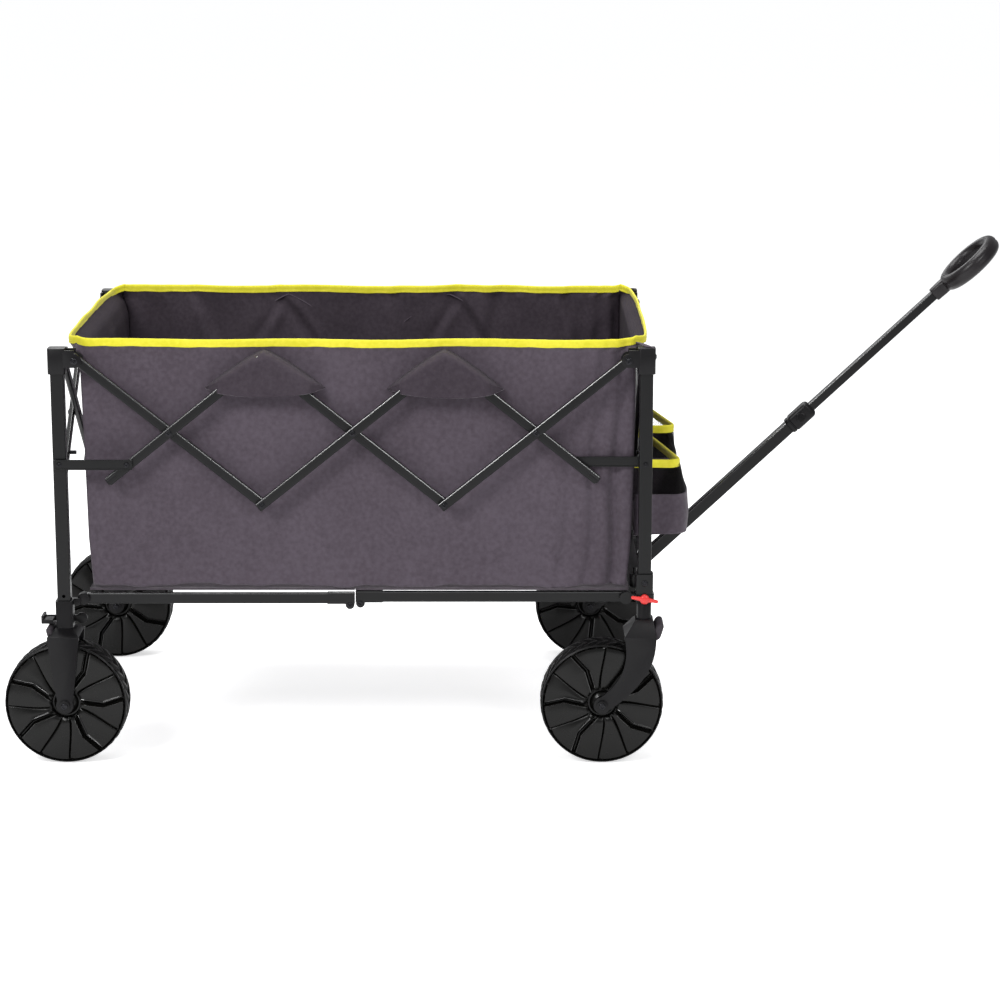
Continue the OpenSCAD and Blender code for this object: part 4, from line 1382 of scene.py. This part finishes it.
eye = turned(np.array(HUB) - ACROSS * 9.4 * MM, ACROSS, [(0, 0), (8.6 * MM, 0), (9.4 * MM, 0.8 * MM),
             (9.4 * MM, 18 * MM), (8.6 * MM, 18.8 * MM), (0, 18.8 * MM)])
lower = crisp(solid("handle_lower", [edged(tube_along(8, 316, 18.6, 2.2), 1), (*eye, 0)],
                    [POWDER, EDGE]))
collar_profile = [(311, 20, 20, 5), (312, 22.5, 22.5, 5.5), (314, 24, 24, 6), (317, 24.4, 24.4, 6),
                  (318, 23.2, 23.2, 6), (319, 23.2, 23.2, 6), (320, 25.4, 25.4, 6), (323, 26, 26, 6.2),
                  (348, 26, 26, 6.2), (352, 25.6, 25.6, 6), (354, 24.2, 24.2, 6), (355.5, 22, 22, 6),
                  (357, 19, 19, 5)]
collar = solid("handle_collar", [(*sleeve(collar_profile), 0)], [NYLON], 30)
for obj in (lower, collar):
    finish_piece(obj, "handle_lower", "black_plastic", "handle_lower_tube")
upper = crisp(solid("handle_upper", [edged(tube_along(268, 612, 13.6, 2.0), 1)], [POWDER, EDGE]))
finish_piece(upper, "handle_upper", "frame_powder", "handle_upper_tube")

BUTTON_AT = 335
button_parts = []
for k, wide in enumerate((10.5, 12.6, 13.2, 12.6, 10.5)):
    at = on_handle([(BUTTON_AT + (k - 2) * 2.3) * MM, -11.6 * MM, 0])
    rib = beam(at - UP * wide / 2 * MM, at + UP * wide / 2 * MM, AWAY, 1.7 * MM, 7.4 * MM, 0.7 * MM,
               0.5 * MM)
    button_parts.append((*rib, 0))
oval = np.linspace(0, 2 * pi, 36, endpoint=False)
plate = np.array([on_handle(np.stack([(BUTTON_AT + 8.0 * g * np.cos(oval)) * MM, np.full(36, -y * MM),
                                      8.0 * g * np.sin(oval) * MM], -1))
                  for g, y in ((1.0, 11.0), (1.0, 13.6), (0.9, 14.2), (0.02, 14.3))])
button_parts.append((plate, loft(plate), 0))
button = solid("handle_push_button", button_parts, [NYLON])
finish_piece(button, "handle_button", "black_plastic", "handle_button")
print("handle tubes, collar and button")

# %% [markdown]
# The grip's ring has an oval section, thicker towards the outside, with a fine groove where its two shells
# meet. Near the connector the ring widens into a neck.

# %% Ring grip
RING_AT = 681


def ring_grip(u_steps=120, v_steps=40):
    """Grid of the ring: u runs round the ring, v round its section, an oval with a groove at v = 0."""
    u, v = np.meshgrid(np.linspace(0, 2 * pi, u_steps, endpoint=False),
                       np.linspace(0, 2 * pi, v_steps, endpoint=False), indexing="ij")
    groove = 0.7 * MM * np.exp(-(np.sin(v) / 0.10) ** 2)
    flat = 0.9 * MM * np.exp(-((np.cos(v) + 1) / 0.5) ** 2)
    radial = 42.5 * MM + (10.5 * MM - groove - flat) * np.cos(v)
    up = 12.5 * MM * np.sign(np.sin(v)) * np.abs(np.sin(v)) ** 0.85
    along = RING_AT * MM + radial * np.cos(u)
    across = radial * np.sin(u)
    return on_handle(np.stack([along, across, up], -1))


grid = ring_grip()
ring_faces = grid_faces(grid.shape[0], grid.shape[1], True, True).tolist()
neck = sleeve([(608, 15, 15, 4), (608.6, 18.5, 18.5, 4), (610, 19.6, 19.6, 4), (624, 20.5, 20.5, 4),
               (630, 22, 21, 6), (636, 26, 20, 6), (641, 32, 18, 5)])
slots = []
for s in (639, 723):
    for y in (-9, 0, 9):
        bend_s = s + (0.5 * y * y / 42 if s < RING_AT else -0.5 * y * y / 42)
        a = on_handle([bend_s * MM, (y - 2.6) * MM, 11.4 * MM])
        b = on_handle([bend_s * MM, (y + 2.6) * MM, 11.4 * MM])
        slots.append((*beam(a, b, AWAY, 1.6 * MM, 2.6 * MM, 0.5 * MM, 0.4 * MM), 1))
grip = solid("ring_grip", [(grid, ring_faces, 0), (*neck, 0)] + slots, [GRIP_PLASTIC, NYLON], 50)
finish_piece(grip, BODY_OF["handle_grip"], "black_plastic", "handle_grip")
print("grip", len(grip.data.polygons))

# %% [markdown]
# The floor is a wide plain sheet. It glows where the camera sees it, and more weakly for every other ray,
# so that it looks white while it lights the wagon from below only a little.

# %% Floor
# White paper, rolled out: matt, with no highlight.
floor_mat, floor_tree, floor_shader, _ = start("pale_floor", 0.9)
floor_shader.inputs["Base Color"].default_value = (0.93, 0.93, 0.93, 1)
floor_shader.inputs["Emission Color"].default_value = (1, 1, 1, 1)
seen = add(floor_tree, "LightPath")
glow = add(floor_tree, "MapRange", {"Value": seen.outputs["Is Camera Ray"]}, {"To Min": 0.25, "To Max": 0.62})
floor_tree.links.new(glow.outputs["Result"], floor_shader.inputs["Emission Strength"])
floor = new_object("floor", [(-30, -30, 0), (30, -30, 0), (30, 30, 0), (-30, 30, 0)], [[0, 1, 2, 3]],
                   [floor_mat], False)
print("floor", floor.name)

# %% [markdown]
# The last cell prints the cut size of every sheet.

# %% Sizes and finish
print("cut sizes", FLAT)
